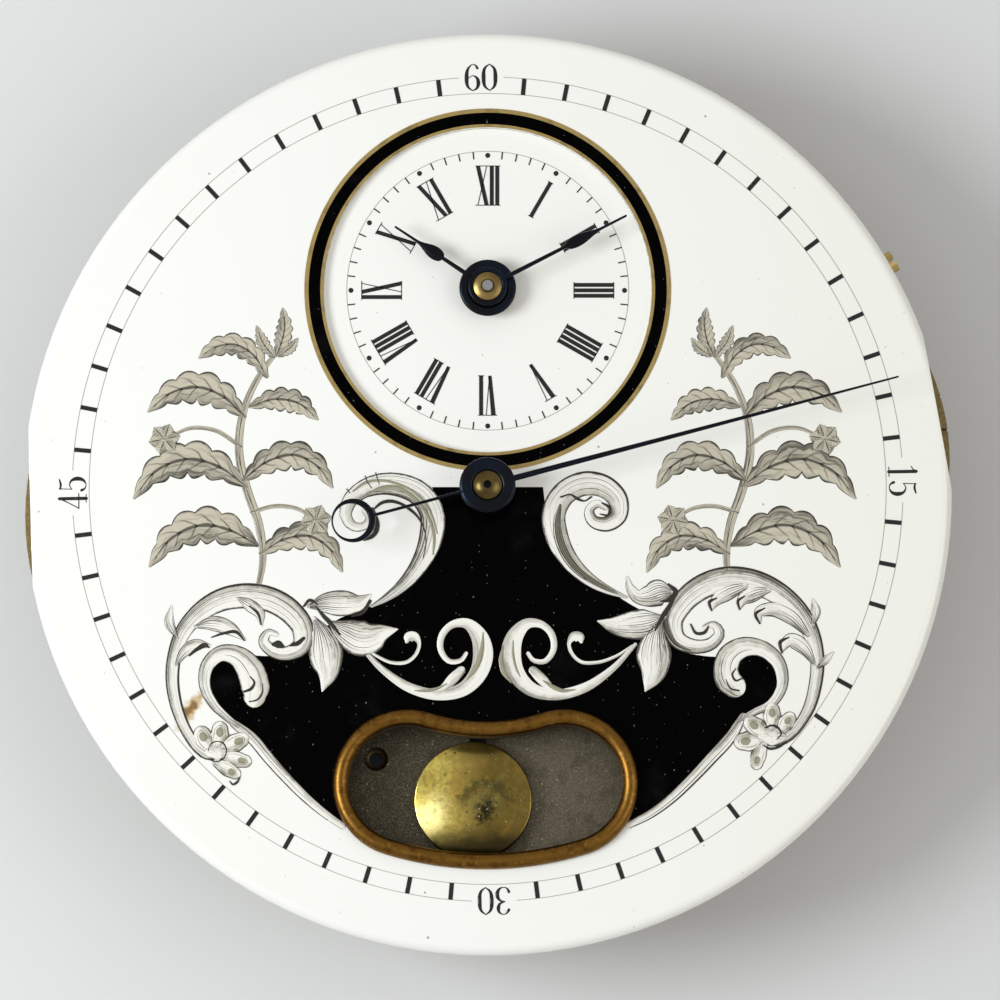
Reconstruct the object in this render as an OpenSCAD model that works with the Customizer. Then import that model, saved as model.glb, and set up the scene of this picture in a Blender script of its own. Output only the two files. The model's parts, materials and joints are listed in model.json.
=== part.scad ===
// Pocket watch movement: off-centre hours and minutes, centre seconds, mock pendulum in a window.
// It lies on its back. z = 0 is the back face of the bridges, +z is the dial side, x = y = 0 is
// the seconds arbor, +y points to the top of the dial. All sizes in mm.

/* [Dial] */
// Diameter of the enamel dial
dial_d = 46.5; // [45.8:0.1:47]
// Depth of the two flats ground on the dial's edge
dial_flat = 0.37; // [0.2:0.01:0.5]
// Thickness of the dial
dial_t = 1.0; // [0.8:0.05:1.4]
// Distance of the small dial's centre above the seconds arbor
small_dial_y = 10.15; // [9.8:0.05:10.5]
// Radius of the opening in which the small dial shows
small_dial_r = 8.25; // [7.5:0.05:8.6]
// Depth of the small dial below the dial's face
small_dial_sink = 0.35; // [0.2:0.05:0.5]
// How far the dial feet stand in from the plate's edge
foot_inset = 2.4; // [2:0.1:2.9]
// Diameter of a dial foot
foot_d = 1.1; // [0.8:0.1:1.4]

/* [Window] */
// How far the window stands to the right of the seconds arbor
window_x = -0.1; // [-0.5:0.05:0.5]
// Height of the centre of the window's arc
window_y = -1.9; // [-2.5:0.1:-1]
// Radius of the window's middle line
window_r = 13.4; // [13:0.1:14.5]
// Half of the angle between the two round ends
window_half_angle = 17; // [12:0.1:20]
// Half of the clear width
window_half_w = 2.9; // [2.6:0.02:3.1]
// Width of the rounded bezel
bezel_w = 0.8; // [0.6:0.01:0.9]

/* [Plate] */
// Radius of the main plate
plate_r = 22.4; // [22:0.1:22.6]
// Thickness of the main plate
plate_t = 1.6; // [1.4:0.1:2]
// Depth of the flange that carries the two lobes
lobe_t = 0.6; // [0.4:0.1:0.8]
// How far the lobes reach from the seconds arbor
lobe_reach = 23.3; // [23.1:0.05:23.8]
// Height of the plate's back face above the rest plane
plate_z = 6.6; // [6.6:0.1:7.2]
// Clear height between the plate and the dial
dial_space = 1.8; // [1.8:0.1:2.4]
// How far the rim that sits in the case stands in from the plate's edge
rim_inset = 0.6; // [0.4:0.05:0.8]
// Wall of that rim
rim_w = 1.0; // [0.8:0.1:1.2]
// Height of that rim's back edge
rim_z = 5.4; // [5.2:0.1:5.8]
// Wall of the ring that carries the dial
dial_ring_w = 1.2; // [0.8:0.1:1.4]

/* [Bridges] */
// Thickness of the barrel bridge and the train bridge
bridge_t = 1.2; // [1.1:0.05:1.4]
// Radius of a bridge foot
bridge_foot_r = 1.6; // [1.4:0.05:1.8]
// Height of the low bridges' back faces
low_bridge_z = 2.95; // [2.9:0.05:3]
// Thickness of the low bridges
low_bridge_t = 0.6; // [0.5:0.05:0.65]
// Depth of the cock's arm below the rest plane
cock_sink = 0.5; // [0.45:0.05:0.55]
// Thickness of the cock's arm
cock_t = 0.9; // [0.8:0.05:0.95]

/* [Train] */
// Module of the barrel and the minute pinion
barrel_mod = 0.16; // [0.155:0.001:0.165]
// Module of the minute wheel and the third pinion
minute_mod = 0.13; // [0.128:0.001:0.132]
// Module of the third wheel and the seconds pinion
third_mod = 0.12; // [0.118:0.001:0.122]
// Module of the seconds wheel and the escape pinion
seconds_mod = 0.11; // [0.108:0.001:0.112]
// Module of the cannon pinion and the motion wheel
motion_mod = 0.14; // [0.136:0.001:0.142]
// Thickness of the train wheels
wheel_t = 0.35; // [0.3:0.01:0.38]
// Direction from the minute arbor to the barrel
barrel_dir = 165; // [160:1:168]

/* [Balance] */
// Height of the balance staff's place on the dial
balance_y = -5.6; // [-5.8:0.05:-5.4]
// Radius of the balance wheel
balance_r = 7.4; // [6.8:0.1:7.6]
// Thickness of the balance wheel
balance_t = 0.6; // [0.5:0.05:0.65]
// Distance of the pendulum disc's centre from the staff
pendulum_len = 9.85; // [9.4:0.05:10]
// Radius of the pendulum disc
pendulum_r = 2.96; // [2.6:0.01:3]
// Lean of the pendulum in the rest pose
pendulum_lean = -4.25; // [-8:0.25:8]
// Radius of the escape wheel's tooth circle
escape_r = 3.0; // [2.95:0.01:3.05]
// Outer radius of the cylinder
cylinder_r = 0.36; // [0.34:0.01:0.37]
// Thickness of the balance spring's strip
spring_w = 0.12; // [0.1:0.01:0.14]
// Distance between two turns of the balance spring
spring_pitch = 0.56; // [0.55:0.01:0.6]
// Radius at which the balance spring is pinned
spring_r = 4.6; // [4.4:0.1:4.8]

/* [Hands] */
// Length of the hour hand
hour_len = 5.6; // [5:0.1:6]
// Length of the minute hand
minute_len = 7.85; // [7:0.05:8]
// Length of the seconds hand
seconds_len = 21.2; // [19:0.1:22]
// Distance of the seconds hand's ring from the arbor
ring_dist = 6.9; // [6:0.1:7.5]
// Outer radius of that ring
ring_r = 1.1; // [0.8:0.05:1.2]
// Angle of the hour hand in the rest pose, from +x
hour_angle = 146.3; // [140:0.1:152]
// Angle of the minute hand in the rest pose, from +x
minute_angle = 27.3; // [20:0.1:35]
// Angle of the seconds hand in the rest pose, from +x
seconds_angle = 14.9; // [10:0.1:20]
// Thickness of the hands
hand_t = 0.15; // [0.12:0.01:0.18]

/* [Fits] */
// Radial gap of a running pivot
run_gap = 0.02; // [0.015:0.005:0.03]
// Radial gap of a pressed seat
seat_gap = 0.01; // [0.008:0.001:0.012]
// Radial gap of a screw in its hole
screw_gap = 0.04; // [0.03:0.01:0.06]
// Distance of a bridge screw's head from the rest plane
head_sink = 0.1; // [0.08:0.02:0.2]

/* [Hidden] */
$fn = 72;
over = 0.2;

// the stack along z
plate_front = plate_z + plate_t;
dial_z = plate_front + dial_space;
dial_top = dial_z + dial_t;
small_top = dial_top - small_dial_sink;
cock_back = cock_sink;
cock_face = cock_sink + cock_t;
balance_z = 2.1;
spring_z = 1.55;
spring_h = 0.3;
escape_z = 3.75;
escape_tooth_z = 4.2;
escape_top = 4.45;
third_z = 4.15;
seconds_z = 4.95;
minute_z = 5.75;
barrel_z = 1.6;
barrel_top = 5.3;
motion_z = plate_front + 0.25;
hour_z = plate_front + 0.85;
pendulum_z = plate_front + 0.5;
hour_hand_z = dial_top + 0.5;
minute_hand_z = dial_top + 0.95;
seconds_hand_z = dial_top + 2.0;

// teeth
barrel_n = 80;
minute_pinion_n = 10;
minute_n = 80;
third_pinion_n = 10;
third_n = 75;
seconds_pinion_n = 10;
seconds_n = 80;
escape_pinion_n = 8;
escape_n = 15;
cannon_n = 12;
motion_n = 36;
motion_pinion_n = 10;
hour_n = 40;
ratchet_n = 24;
motion_dist = motion_mod * (cannon_n + motion_n) / 2;
hour_mod = 2 * motion_dist / (motion_pinion_n + hour_n);

// places of the arbors
function polar(r, a) = [r * cos(a), r * sin(a)];
function aim(a, b) = atan2(b[1] - a[1], b[0] - a[0]);
// Point at distance ra from a and rb from b, to the right of the line from a to b for side = -1
function meet(a, b, ra, rb, side) =
    let (d = norm(b - a), u = (b - a) / d, along = (ra * ra - rb * rb + d * d) / (2 * d))
    a + u * along + side * [-u[1], u[0]] * sqrt(ra * ra - along * along);

at_s = [0, 0];
at_m = [0, small_dial_y];
at_b = [0, balance_y];
at_t = meet(at_m, at_s, minute_mod * (minute_n + third_pinion_n) / 2,
    third_mod * (third_n + seconds_pinion_n) / 2, 1);
at_e = meet(at_s, at_b, seconds_mod * (seconds_n + escape_pinion_n) / 2, escape_r, 1);
at_p = at_m + polar(barrel_mod * (barrel_n + minute_pinion_n) / 2, barrel_dir);
at_w = at_m + [motion_dist, 0];

// places of the feet, screws and pins
barrel_feet = [at_p + polar(8.35, 205), at_p + polar(8.35, 42)];
train_feet = [[9.5, 13], [8.7, 3]];
cock_foot = [-7.4, -13.4];
cock_foot_r = 2.4;
high_feet = concat(barrel_feet, train_feet, [cock_foot]);
seconds_foot = [-7.2, -0.5];
escape_foot = [7.9, -5.8];
low_feet = [seconds_foot, escape_foot];
low_foot_r = 1.4;
pin_r = 0.35;
pins = [cock_foot + [1.8, 0.15], cock_foot + [-1.75, -0.15]];
pin_z = [5.4, plate_front - 1];
dial_feet_dirs = [30.6, 150.6, 312];
dial_flat_dirs = [182, 10];
foot_ring_r = plate_r - foot_inset;
rim_r = plate_r - rim_inset;
foot_screw_out = [1.15, 0, 0];
foot_screw_r = 0.3;
foot_head_r = 0.55;
foot_head_t = 0.7;
foot_head_sink = 0.45;
foot_screw_z = plate_z + plate_t / 2 - 0.15;
case_dirs = [50.4, 230.4];
case_turn = [0, 180];
case_inset = 0.7;
case_ring_r = plate_r - case_inset;
case_head_r = 1.82;
case_flat = 0.75;
case_head_t = 0.5;
screw_r = 0.5;
head_r = 0.85;
head_t = 0.6;

// bores
minute_pivot_r = 0.62;
set_r = 0.42;
hour_pipe_r = 0.9;
third_pivot_r = 0.2;
seconds_r = 0.35;
seconds_bush_r = 0.95;
staff_r = 0.3;
staff_pivot_r = 0.14;
staff_front_r = 0.25;
plate_jewel_r = 0.9;
barrel_pivot_r = 0.6;
barrel_core_r = 1.5;
set_recess_r = 1.3;
set_recess_z = 0.75;
bezel_side = 0.15;
bezel_steps = 6;

// barrel bridge recess with the ratchet and its click
recess_r = 4.9;
recess_z = 0.6;
ratchet_r = 2.9;
ratchet_t = 0.4;
ratchet_z = 0.1;
click_len = 2.6;
click_at = at_p + polar(4.0, 262);
click_tip = meet(at_p, click_at, ratchet_r + 0.06, click_len, -1);
click_r = 0.55;
click_spring_at = at_p + polar(4.1, 330);
click_spring_w = 0.16;

// balance spring: from the collet to the stud on the cock's arm
cock_dir = aim(at_b, cock_foot);
collet_r = 0.85;
spring_turns = (spring_r - collet_r - spring_w / 2) / spring_pitch;
spring_steps = 34;
function spring_at(t, off) = polar(spring_r - (spring_turns - t) * spring_pitch + off,
    cock_dir - (spring_turns - t) * 360);
spring_points = [for (i = [0 : ceil(spring_turns * spring_steps)])
    min(i / spring_steps, spring_turns)];
spring_gap = min([for (t = spring_points) if (t >= 1)
    norm(spring_at(t, 0)) - norm(spring_at(t - 1, 0)) - spring_w]);
echo(balance_spring_gap = spring_gap);
curb_dir = cock_dir + 62;
curb_r = norm(spring_at(spring_turns - 298 / 360, 0));

// mainspring: from the arbor's core to the drum's wall
drum_r = 6.1;
drum_wall = 0.4;
main_w = 0.14;
main_pitch = 0.6;
main_r = drum_r - drum_wall - main_w;
main_turns = (main_r - barrel_core_r - main_w) / main_pitch;
function main_at(t, off) = polar(barrel_core_r + main_w + t * main_pitch + off, t * 360);
main_points = [for (i = [0 : ceil(main_turns * spring_steps)]) min(i / spring_steps, main_turns)];
echo(mainspring_gap = main_pitch - main_w);

brass = [0.78, 0.62, 0.28];
gilt = [0.72, 0.55, 0.25];
steel = [0.55, 0.56, 0.58];
blued = [0.08, 0.09, 0.14];
enamel = [0.95, 0.95, 0.92];
ruby = [0.6, 0.1, 0.15];
copper = [0.65, 0.38, 0.18];

// Node to show, or all of them

// Cylinder at a place, between two heights
module post(at, r, z0, z1) {
    translate([at[0], at[1], z0]) cylinder(r = r, h = z1 - z0);
}

// Flat bar with round ends
module bar(a, b, r) {
    translate(a) circle(r = r);
    translate(b) circle(r = r);
    translate(a) rotate(aim(a, b)) translate([0, -r]) square([norm(b - a), 2 * r]);
}

// Plate of a 2-D outline between two heights
module slab(z0, z1) {
    translate([0, 0, z0]) linear_extrude(height = z1 - z0) children();
}

// Outline points of a gear with slim, pointed teeth
function gear_points(n, m, add, ded, fill) =
    let (rp = n * m / 2, half = 180 / n * fill,
        tooth = [[rp - ded * m, -half], [rp, -half], [rp + add * m, -half * 0.4],
            [rp + add * m, half * 0.4], [rp, half], [rp - ded * m, half]])
    [for (i = [0 : n - 1]) for (p = tooth) polar(p[0], i * 360 / n + p[1])];

// Crossed-out wheel with a tooth on the direction dir
module wheel(at, n, m, z, bore, hub, arms, dir) {
    rim = n * m / 2 - 5 * m;
    translate(at) rotate(dir) slab(z, z + wheel_t) difference() {
        polygon(gear_points(n, m, 0.85, 1.35, 0.44));
        circle(r = bore);
        difference() {
            circle(r = rim);
            circle(r = hub);
            for (i = [0 : arms - 1]) rotate(i * 360 / arms) translate([0, -0.3]) square([rim + 1, 0.6]);
        }
    }
}

// Pinion leaves with a gap on the direction dir
module leaves(at, n, m, z0, z1, dir) {
    translate(at) rotate(dir + 180 / n) slab(z0, z1) polygon(gear_points(n, m, 0.75, 1.3, 0.4));
}

// Screw with a slotted head at the back end
module screw(at, z0, z1, r, hr, ht, turn) {
    difference() {
        union() {
            post(at, hr, z0, z0 + ht);
            post(at, r, z0 + ht - 0.05, z1);
        }
        translate([at[0], at[1], z0]) rotate(turn)
            cube([2 * hr + 1, 0.26, ht * 0.9], center = true);
    }
}

// Kidney shape of the window, w to each side of its middle line
module kidney(w) {
    far = 2 * window_r;
    translate([window_x, window_y]) {
        intersection() {
            difference() {
                circle(r = window_r + w, $fn = 180);
                circle(r = window_r - w, $fn = 180);
            }
            polygon([[0, 0], polar(far, -90 - window_half_angle), polar(far, -90 + window_half_angle)]);
        }
        for (s = [-1, 1]) translate(polar(window_r, -90 + s * window_half_angle)) circle(r = w);
    }
}

// Strip along a spiral, as one outline
module strip(points, half) {
    polygon(concat(
        [for (p = points) p + half * p / norm(p)],
        [for (i = [len(points) - 1 : -1 : 0]) points[i] - half * points[i] / norm(points[i])]));
}

module main_plate() color(gilt) difference() {
    union() {
        post(at_s, plate_r, plate_z, plate_front);
        post([-(lobe_reach - 13.8), -0.9], 13.8, plate_front - lobe_t, plate_front);
        post([lobe_reach - 11.8, 1.9], 11.8, plate_front - lobe_t, plate_front);
        post(at_s, rim_r, rim_z, plate_z + 0.1);
    }
    post(at_s, rim_r - rim_w, rim_z - over, plate_z);
    for (y = [3.4, 5.1]) translate([lobe_reach, y, plate_front]) cube([1.1, 0.16, 1], center = true);
    post(at_s, seconds_bush_r + seat_gap, plate_z - over, plate_front + over);
    post(at_m, minute_pivot_r + run_gap, plate_z - over, plate_front + over);
    post(at_t, third_pivot_r + run_gap, plate_z - over, plate_z + 1.0);
    post(at_e, third_pivot_r + run_gap, plate_z - over, plate_z + 1.0);
    post(at_b, plate_jewel_r + seat_gap, plate_z - over, plate_front + over);
    post(at_p, barrel_pivot_r + run_gap, plate_z - over, plate_front + over);
    post(at_w, 0.45 + seat_gap, plate_front - 1, plate_front + over);
    for (p = pins) {
        post(p, pin_r + seat_gap, plate_z - over, plate_front + over);
        translate([p[0], p[1], plate_front - 0.25]) cylinder(r1 = pin_r, r2 = 0.62, h = 0.26);
    }
    for (p = concat(high_feet, low_feet)) post(p, screw_r + screw_gap, plate_z - over, plate_front - 0.3);
    for (d = case_dirs)
        post(polar(case_ring_r, d), screw_r + screw_gap, plate_z - over, plate_front + over);
    for (d = dial_feet_dirs) {
        post(polar(foot_ring_r, d), foot_d / 2 + screw_gap, plate_z - over, plate_front + over);
        rotate(d) translate([foot_ring_r, 0, foot_screw_z]) rotate([0, 90, 0]) {
            cylinder(r = foot_screw_r + screw_gap, h = 2 * foot_inset);
            translate([0, 0, foot_inset - foot_head_sink])
                cylinder(r = foot_head_r + screw_gap, h = foot_inset);
        }
    }
}

module dial_ring() color(gilt) difference() {
    post(at_s, plate_r, plate_front, dial_z);
    post(at_s, plate_r - dial_ring_w, plate_front - over, dial_z + over);
    for (d = case_dirs)
        post(polar(case_ring_r, d), case_head_r + 0.15,
            plate_front - over, plate_front + case_head_t + 0.15);
}

module dial() color(enamel) difference() {
    translate([0, 0, dial_z]) rotate_extrude() {
        square([dial_d / 2 - dial_t / 2, dial_t]);
        translate([dial_d / 2 - dial_t / 2, dial_t / 2]) circle(r = dial_t / 2);
    }
    post(at_s, 0.85, dial_z - over, dial_top + over);
    post(at_m, small_dial_r, dial_z - over, dial_top + over);
    post(at_m, small_dial_r + 0.4, dial_z - over, dial_z + 0.3);
    slab(dial_z - over, dial_top + over) kidney(window_half_w + 0.22);
    for (d = dial_flat_dirs) rotate(d) translate([dial_d / 2 - dial_flat, -dial_d / 4, dial_z - over])
        cube([2 * dial_flat, dial_d / 2, dial_t + 2 * over]);
}

module small_dial() color(enamel) difference() {
    union() {
        post(at_m, small_dial_r + 0.4 - seat_gap, dial_z, dial_z + 0.3 - seat_gap);
        post(at_m, small_dial_r - seat_gap, dial_z, small_top);
    }
    post(at_m, hour_pipe_r + 0.15, dial_z - over, dial_top);
}

// Flat ring along the window, half to each side of the bezel's middle line
module bezel_ring(half) difference() {
    kidney(window_half_w + bezel_w / 2 + half);
    kidney(window_half_w + bezel_w / 2 - half);
}

module window_bezel() color(copper) {
    half = bezel_w / 2;
    slab(dial_z, dial_top + bezel_side / 2) difference() {
        kidney(window_half_w + 0.22 - seat_gap);
        kidney(window_half_w);
    }
    slab(dial_top, dial_top + bezel_side) bezel_ring(half);
    // The half-round on top, in steps too fine to see
    for (i = [0 : bezel_steps - 1]) {
        a = 90 * (i + 0.5) / bezel_steps;
        slab(dial_top + bezel_side / 2, dial_top + bezel_side + half * sin(a)) bezel_ring(half * cos(a));
    }
}

module dial_feet() color(copper) for (d = dial_feet_dirs)
    post(polar(foot_ring_r, d), foot_d / 2, plate_z + 0.2, dial_z);

module dial_foot_screws() color(brass) for (i = [0 : 2]) rotate(dial_feet_dirs[i])
    translate([foot_ring_r + foot_screw_out[i], 0, foot_screw_z]) rotate([0, 90, 0]) difference() {
        head_at = foot_inset - foot_head_sink + 0.15;
        union() {
            translate([0, 0, foot_d / 2 + 0.05]) cylinder(r = foot_screw_r, h = head_at - foot_d / 2);
            translate([0, 0, head_at]) cylinder(r = foot_head_r, h = foot_head_t);
        }
        translate([0, 0, head_at + foot_head_t]) cube([3 * foot_head_r, 0.22, 0.5], center = true);
    }

module case_screws() color(steel) for (i = [0, 1]) {
    translate(polar(case_ring_r, case_dirs[i])) rotate(case_dirs[i] + case_turn[i]) difference() {
        union() {
            post(at_s, screw_r, plate_z + 0.1, plate_front + 0.1);
            post(at_s, case_head_r, plate_front, plate_front + case_head_t);
        }
        translate([-case_head_r - case_flat, 0, plate_front + case_head_t / 2])
            cube([2 * case_head_r, 2 * case_head_r + 1, case_head_t + over], center = true);
        translate([0, 0, plate_front + case_head_t]) cube([4, 0.3, 0.5], center = true);
    }
}

module barrel_bridge() color(gilt) difference() {
    union() {
        slab(0, bridge_t) {
            translate(at_p) circle(r = recess_r + 0.7);
            for (p = barrel_feet) bar(p, at_p, bridge_foot_r);
        }
        for (p = barrel_feet) post(p, bridge_foot_r, 0, plate_z);
    }
    post(at_p, recess_r, -over, recess_z);
    post(at_p, 0.9 + run_gap, -over, bridge_t + over);
    post(click_at, 0.3 + screw_gap, -over, bridge_t + over);
    post(click_spring_at, 0.3 + screw_gap, -over, bridge_t + over);
    for (p = barrel_feet) foot_holes(p);
}

// Screw hole with a counterbore through a bridge foot
module foot_holes(p) {
    post(p, screw_r + screw_gap, -over, plate_z + over);
    post(p, head_r + screw_gap, -over, head_sink + head_t);
}

module train_bridge() color(gilt) difference() {
    union() {
        slab(0, bridge_t) {
            bar(train_feet[0], at_m, bridge_foot_r);
            bar(train_feet[1], at_t, 1.3);
            bar(train_feet[0], train_feet[1], bridge_foot_r);
            bar(at_m, at_t, 1.1);
        }
        for (p = train_feet) post(p, bridge_foot_r, 0, plate_z);
    }
    post(at_m, set_recess_r, -over, set_recess_z);
    post(at_m, minute_pivot_r + run_gap, -over, bridge_t + over);
    post(at_t, third_pivot_r + run_gap, -over, bridge_t + over);
    translate([at_t[0], at_t[1], -0.01]) cylinder(r1 = 0.75, r2 = third_pivot_r, h = 0.35);
    for (p = train_feet) foot_holes(p);
}

// Low bridge from its foot to a pivot
module low_bridge(foot, at, r, pivot) color(gilt) difference() {
    union() {
        slab(low_bridge_z, low_bridge_z + low_bridge_t) bar(foot, at, r);
        post(foot, low_foot_r, low_bridge_z, plate_z);
    }
    post(at, pivot + run_gap, low_bridge_z - over, low_bridge_z + low_bridge_t + over);
    post(foot, screw_r + screw_gap, low_bridge_z - over, plate_z + over);
    post(foot, head_r + screw_gap, low_bridge_z - over, low_bridge_z + head_t);
}

module seconds_bridge() low_bridge(seconds_foot, at_s, 1.3, third_pivot_r);

module escape_bridge() low_bridge(escape_foot, at_e, 1.0, third_pivot_r);

module balance_cock() color(gilt) difference() {
    union() {
        slab(cock_back, cock_face) {
            bar(cock_foot, at_b, 1.7);
            translate(at_b) circle(r = 2.3);
        }
        post(cock_foot, cock_foot_r, 0, plate_z);
    }
    post(at_b, 0.7 + seat_gap, cock_back - over, cock_face + over);
    for (p = pins) post(p, pin_r + seat_gap, pin_z[0] - 0.1, plate_z + over);
    post(at_b + polar(spring_r, cock_dir), 0.32 + seat_gap, cock_face - 0.5, cock_face + over);
    for (s = [-1, 1]) post(at_b + polar(1.62, cock_dir + 90 * s), 0.2 + screw_gap,
        cock_back - over, cock_face - 0.2);
    foot_holes(cock_foot);
}

module bridge_screws() color(blued) for (i = [0 : len(high_feet) - 1])
    screw(high_feet[i], head_sink, plate_front - 0.4, screw_r, head_r, head_t - 0.05, 37 * i);

module low_bridge_screws() color(blued) for (i = [0 : len(low_feet) - 1])
    screw(low_feet[i], low_bridge_z + 0.05, plate_front - 0.4, screw_r, head_r, head_t - 0.1, 50 + 70 * i);

module steady_pins() color(steel) for (p = pins) post(p, pin_r, pin_z[0], pin_z[1]);

module seconds_bush() color(brass) difference() {
    post(at_s, seconds_bush_r, plate_z + 0.1, plate_front + 0.2);
    post(at_s, seconds_r + run_gap, plate_z - over, plate_front + 1);
}

module plate_jewel() color(ruby) difference() {
    post(at_b, plate_jewel_r, plate_z + 0.2, plate_front - 0.1);
    post(at_b, staff_front_r + run_gap, plate_z - over, plate_front + over);
}

module cock_jewel() color(ruby) difference() {
    post(at_b, 0.7, cock_back + 0.1, cock_face - 0.1);
    post(at_b, staff_pivot_r + run_gap, cock_back - over, cock_face + over);
}

module endstone() color(ruby) post(at_b, 0.6 - seat_gap, cock_back - 0.2, cock_back);

module endstone_plate() color(steel) difference() {
    union() {
        post(at_b, 1.1, cock_back - 0.3, cock_back);
        slab(cock_back - 0.12, cock_back) translate(at_b) circle(r = 2.0);
        for (s = [-1, 1]) post(at_b + polar(1.62, cock_dir + 90 * s), 0.2, cock_back, cock_face - 0.3);
    }
    post(at_b, 0.6, cock_back - over - 0.2, cock_back + over);
}

module spring_stud() color(steel) difference() {
    post(at_b + polar(spring_r, cock_dir), 0.32, cock_face - 0.45, spring_z + spring_h + 0.05);
    translate(at_b) rotate(cock_dir) translate([spring_r, 0, spring_z + spring_h / 2])
        cube([spring_w + 0.06, 2, spring_h + 0.06], center = true);
}

module balance_spring() color(blued) translate(at_b) slab(spring_z, spring_z + spring_h)
    strip([for (t = spring_points) spring_at(t, 0)], spring_w / 2);

module regulator() color(steel) translate(at_b) {
    back = 0.08;
    face = cock_back - 0.14;
    slab(back, face) difference() {
        union() {
            circle(r = 1.75);
            bar([0, 0], polar(curb_r, curb_dir), 0.45);
            polygon([polar(1.5, cock_dir - 30), polar(7.2, cock_dir), polar(1.5, cock_dir + 30)]);
        }
        circle(r = 1.1 + run_gap);
    }
    for (s = [-1, 1]) post(polar(curb_r + s * 0.27, curb_dir), 0.13, face - 0.05, spring_z + spring_h);
}

module click() color(steel) difference() {
    slab(ratchet_z, ratchet_z + ratchet_t) {
        translate(click_at) circle(r = click_r);
        polygon([click_at + polar(click_r, aim(click_at, click_tip) - 80), click_tip,
            click_at + polar(click_r, aim(click_at, click_tip) + 80)]);
    }
    post(click_at, 0.3 + run_gap, -over, recess_z);
}

module click_screw() color(blued) difference() {
    union() {
        post(click_at, 0.5, 0.02, ratchet_z - run_gap);
        post(click_at, 0.3, 0.02, bridge_t - 0.05);
    }
    translate([click_at[0], click_at[1], 0]) rotate(20) cube([2, 0.16, 0.1], center = true);
}

module click_spring() color(steel) difference() {
    tail = click_at + polar(click_r + 0.03, aim(click_at, click_tip) - 90);
    slab(ratchet_z, ratchet_z + ratchet_t) {
        translate(click_spring_at) circle(r = 0.6);
        bar(click_spring_at + polar(0.5, aim(click_spring_at, at_p) + 110),
            tail + polar(click_spring_w / 2, aim(click_at, click_tip) - 90), click_spring_w / 2);
    }
    post(click_spring_at, 0.3 + screw_gap, -over, recess_z);
}

module click_spring_screw() color(blued) difference() {
    union() {
        post(click_spring_at, 0.5, 0.02, ratchet_z);
        post(click_spring_at, 0.3, 0.02, bridge_t - 0.05);
    }
    translate([click_spring_at[0], click_spring_at[1], 0]) rotate(75) cube([2, 0.16, 0.1], center = true);
}

module motion_stud() color(steel) {
    post(at_w, 0.45, plate_front - 0.95, motion_z - 0.05);
    post(at_w, 0.35, plate_front - 0.5, hour_z + 0.5);
}

module barrel_drum() color(brass) difference() {
    union() {
        translate(at_p) rotate(aim(at_p, at_m)) slab(barrel_z, barrel_z + 0.6)
            polygon(gear_points(barrel_n, barrel_mod, 0.85, 1.35, 0.44));
        post(at_p, drum_r, barrel_z, barrel_top - 0.3);
        post(at_p, drum_r - drum_wall / 2, barrel_z, barrel_top);
    }
    post(at_p, drum_r - drum_wall, barrel_z + 0.5, barrel_top + over);
    post(at_p, 1.0 + run_gap, barrel_z - over, barrel_z + over + 1);
}

module barrel_cover() color(brass) difference() {
    post(at_p, drum_r - drum_wall - seat_gap, barrel_top - 0.5, barrel_top - 0.1);
    post(at_p, 1.0 + run_gap, barrel_top - 1, barrel_top + over);
}

module mainspring() color(steel) translate(at_p) slab(barrel_z + 0.6, barrel_top - 0.6)
    strip([for (t = main_points) main_at(t, 0)], main_w / 2);

module barrel_arbor() color(steel) difference() {
    union() {
        post(at_p, 1.2, ratchet_z, recess_z - 0.05);
        post(at_p, 0.9, recess_z - 0.1, bridge_t + 0.1);
        post(at_p, 1.0, bridge_t + 0.05, barrel_top);
        post(at_p, barrel_core_r, barrel_z + 0.55, barrel_top - 0.55);
        post(at_p, barrel_pivot_r, barrel_top - 0.1, plate_front - 0.2);
    }
    translate([at_p[0], at_p[1], ratchet_z]) cube([1, 1, 2.4], center = true);
}

module ratchet_wheel() color(steel) translate(at_p) slab(ratchet_z, ratchet_z + ratchet_t) difference() {
    polygon([for (i = [0 : ratchet_n - 1]) for (p = [[ratchet_r, 0], [ratchet_r - 0.38, 1]])
        polar(p[0], (i + p[1] * 0.12) * 360 / ratchet_n)]);
    circle(r = 1.2 + seat_gap);
}

module minute_wheel() wheel_color()
    wheel(at_m, minute_n, minute_mod, minute_z, 0.95 + seat_gap, 1.7, 5, aim(at_m, at_t));

module wheel_color() color(brass) children();

module minute_pinion() color(steel) difference() {
    union() {
        leaves(at_m, minute_pinion_n, barrel_mod, barrel_z - 0.1, barrel_z + 0.8, aim(at_m, at_p));
        post(at_m, minute_pivot_r, set_recess_z + 0.05, plate_front - 0.1);
        post(at_m, 0.8, bridge_t + 0.05, barrel_z);
        post(at_m, 0.8, barrel_z + 0.7, minute_z);
        post(at_m, 1.2, minute_z - 0.2, minute_z - 0.01);
        post(at_m, 0.95, minute_z - 0.05, plate_z - 0.1);
    }
    post(at_m, set_r + run_gap, 0, plate_front + over);
}

module third_wheel() wheel_color()
    wheel(at_t, third_n, third_mod, third_z, 0.4 + seat_gap, 1.1, 5, aim(at_t, at_s));

module third_pinion() color(steel) {
    leaves(at_t, third_pinion_n, minute_mod, minute_z - 0.2, minute_z + wheel_t + 0.2, aim(at_t, at_m));
    post(at_t, third_pivot_r, 0.3, plate_z + 0.8);
    post(at_t, 0.4, bridge_t + 0.05, minute_z + 0.3);
    post(at_t, 0.6, third_z - 0.2, third_z - 0.01);
}

module seconds_wheel() wheel_color()
    wheel(at_s, seconds_n, seconds_mod, seconds_z, 0.42 + seat_gap, 1.1, 5, aim(at_s, at_e));

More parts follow.
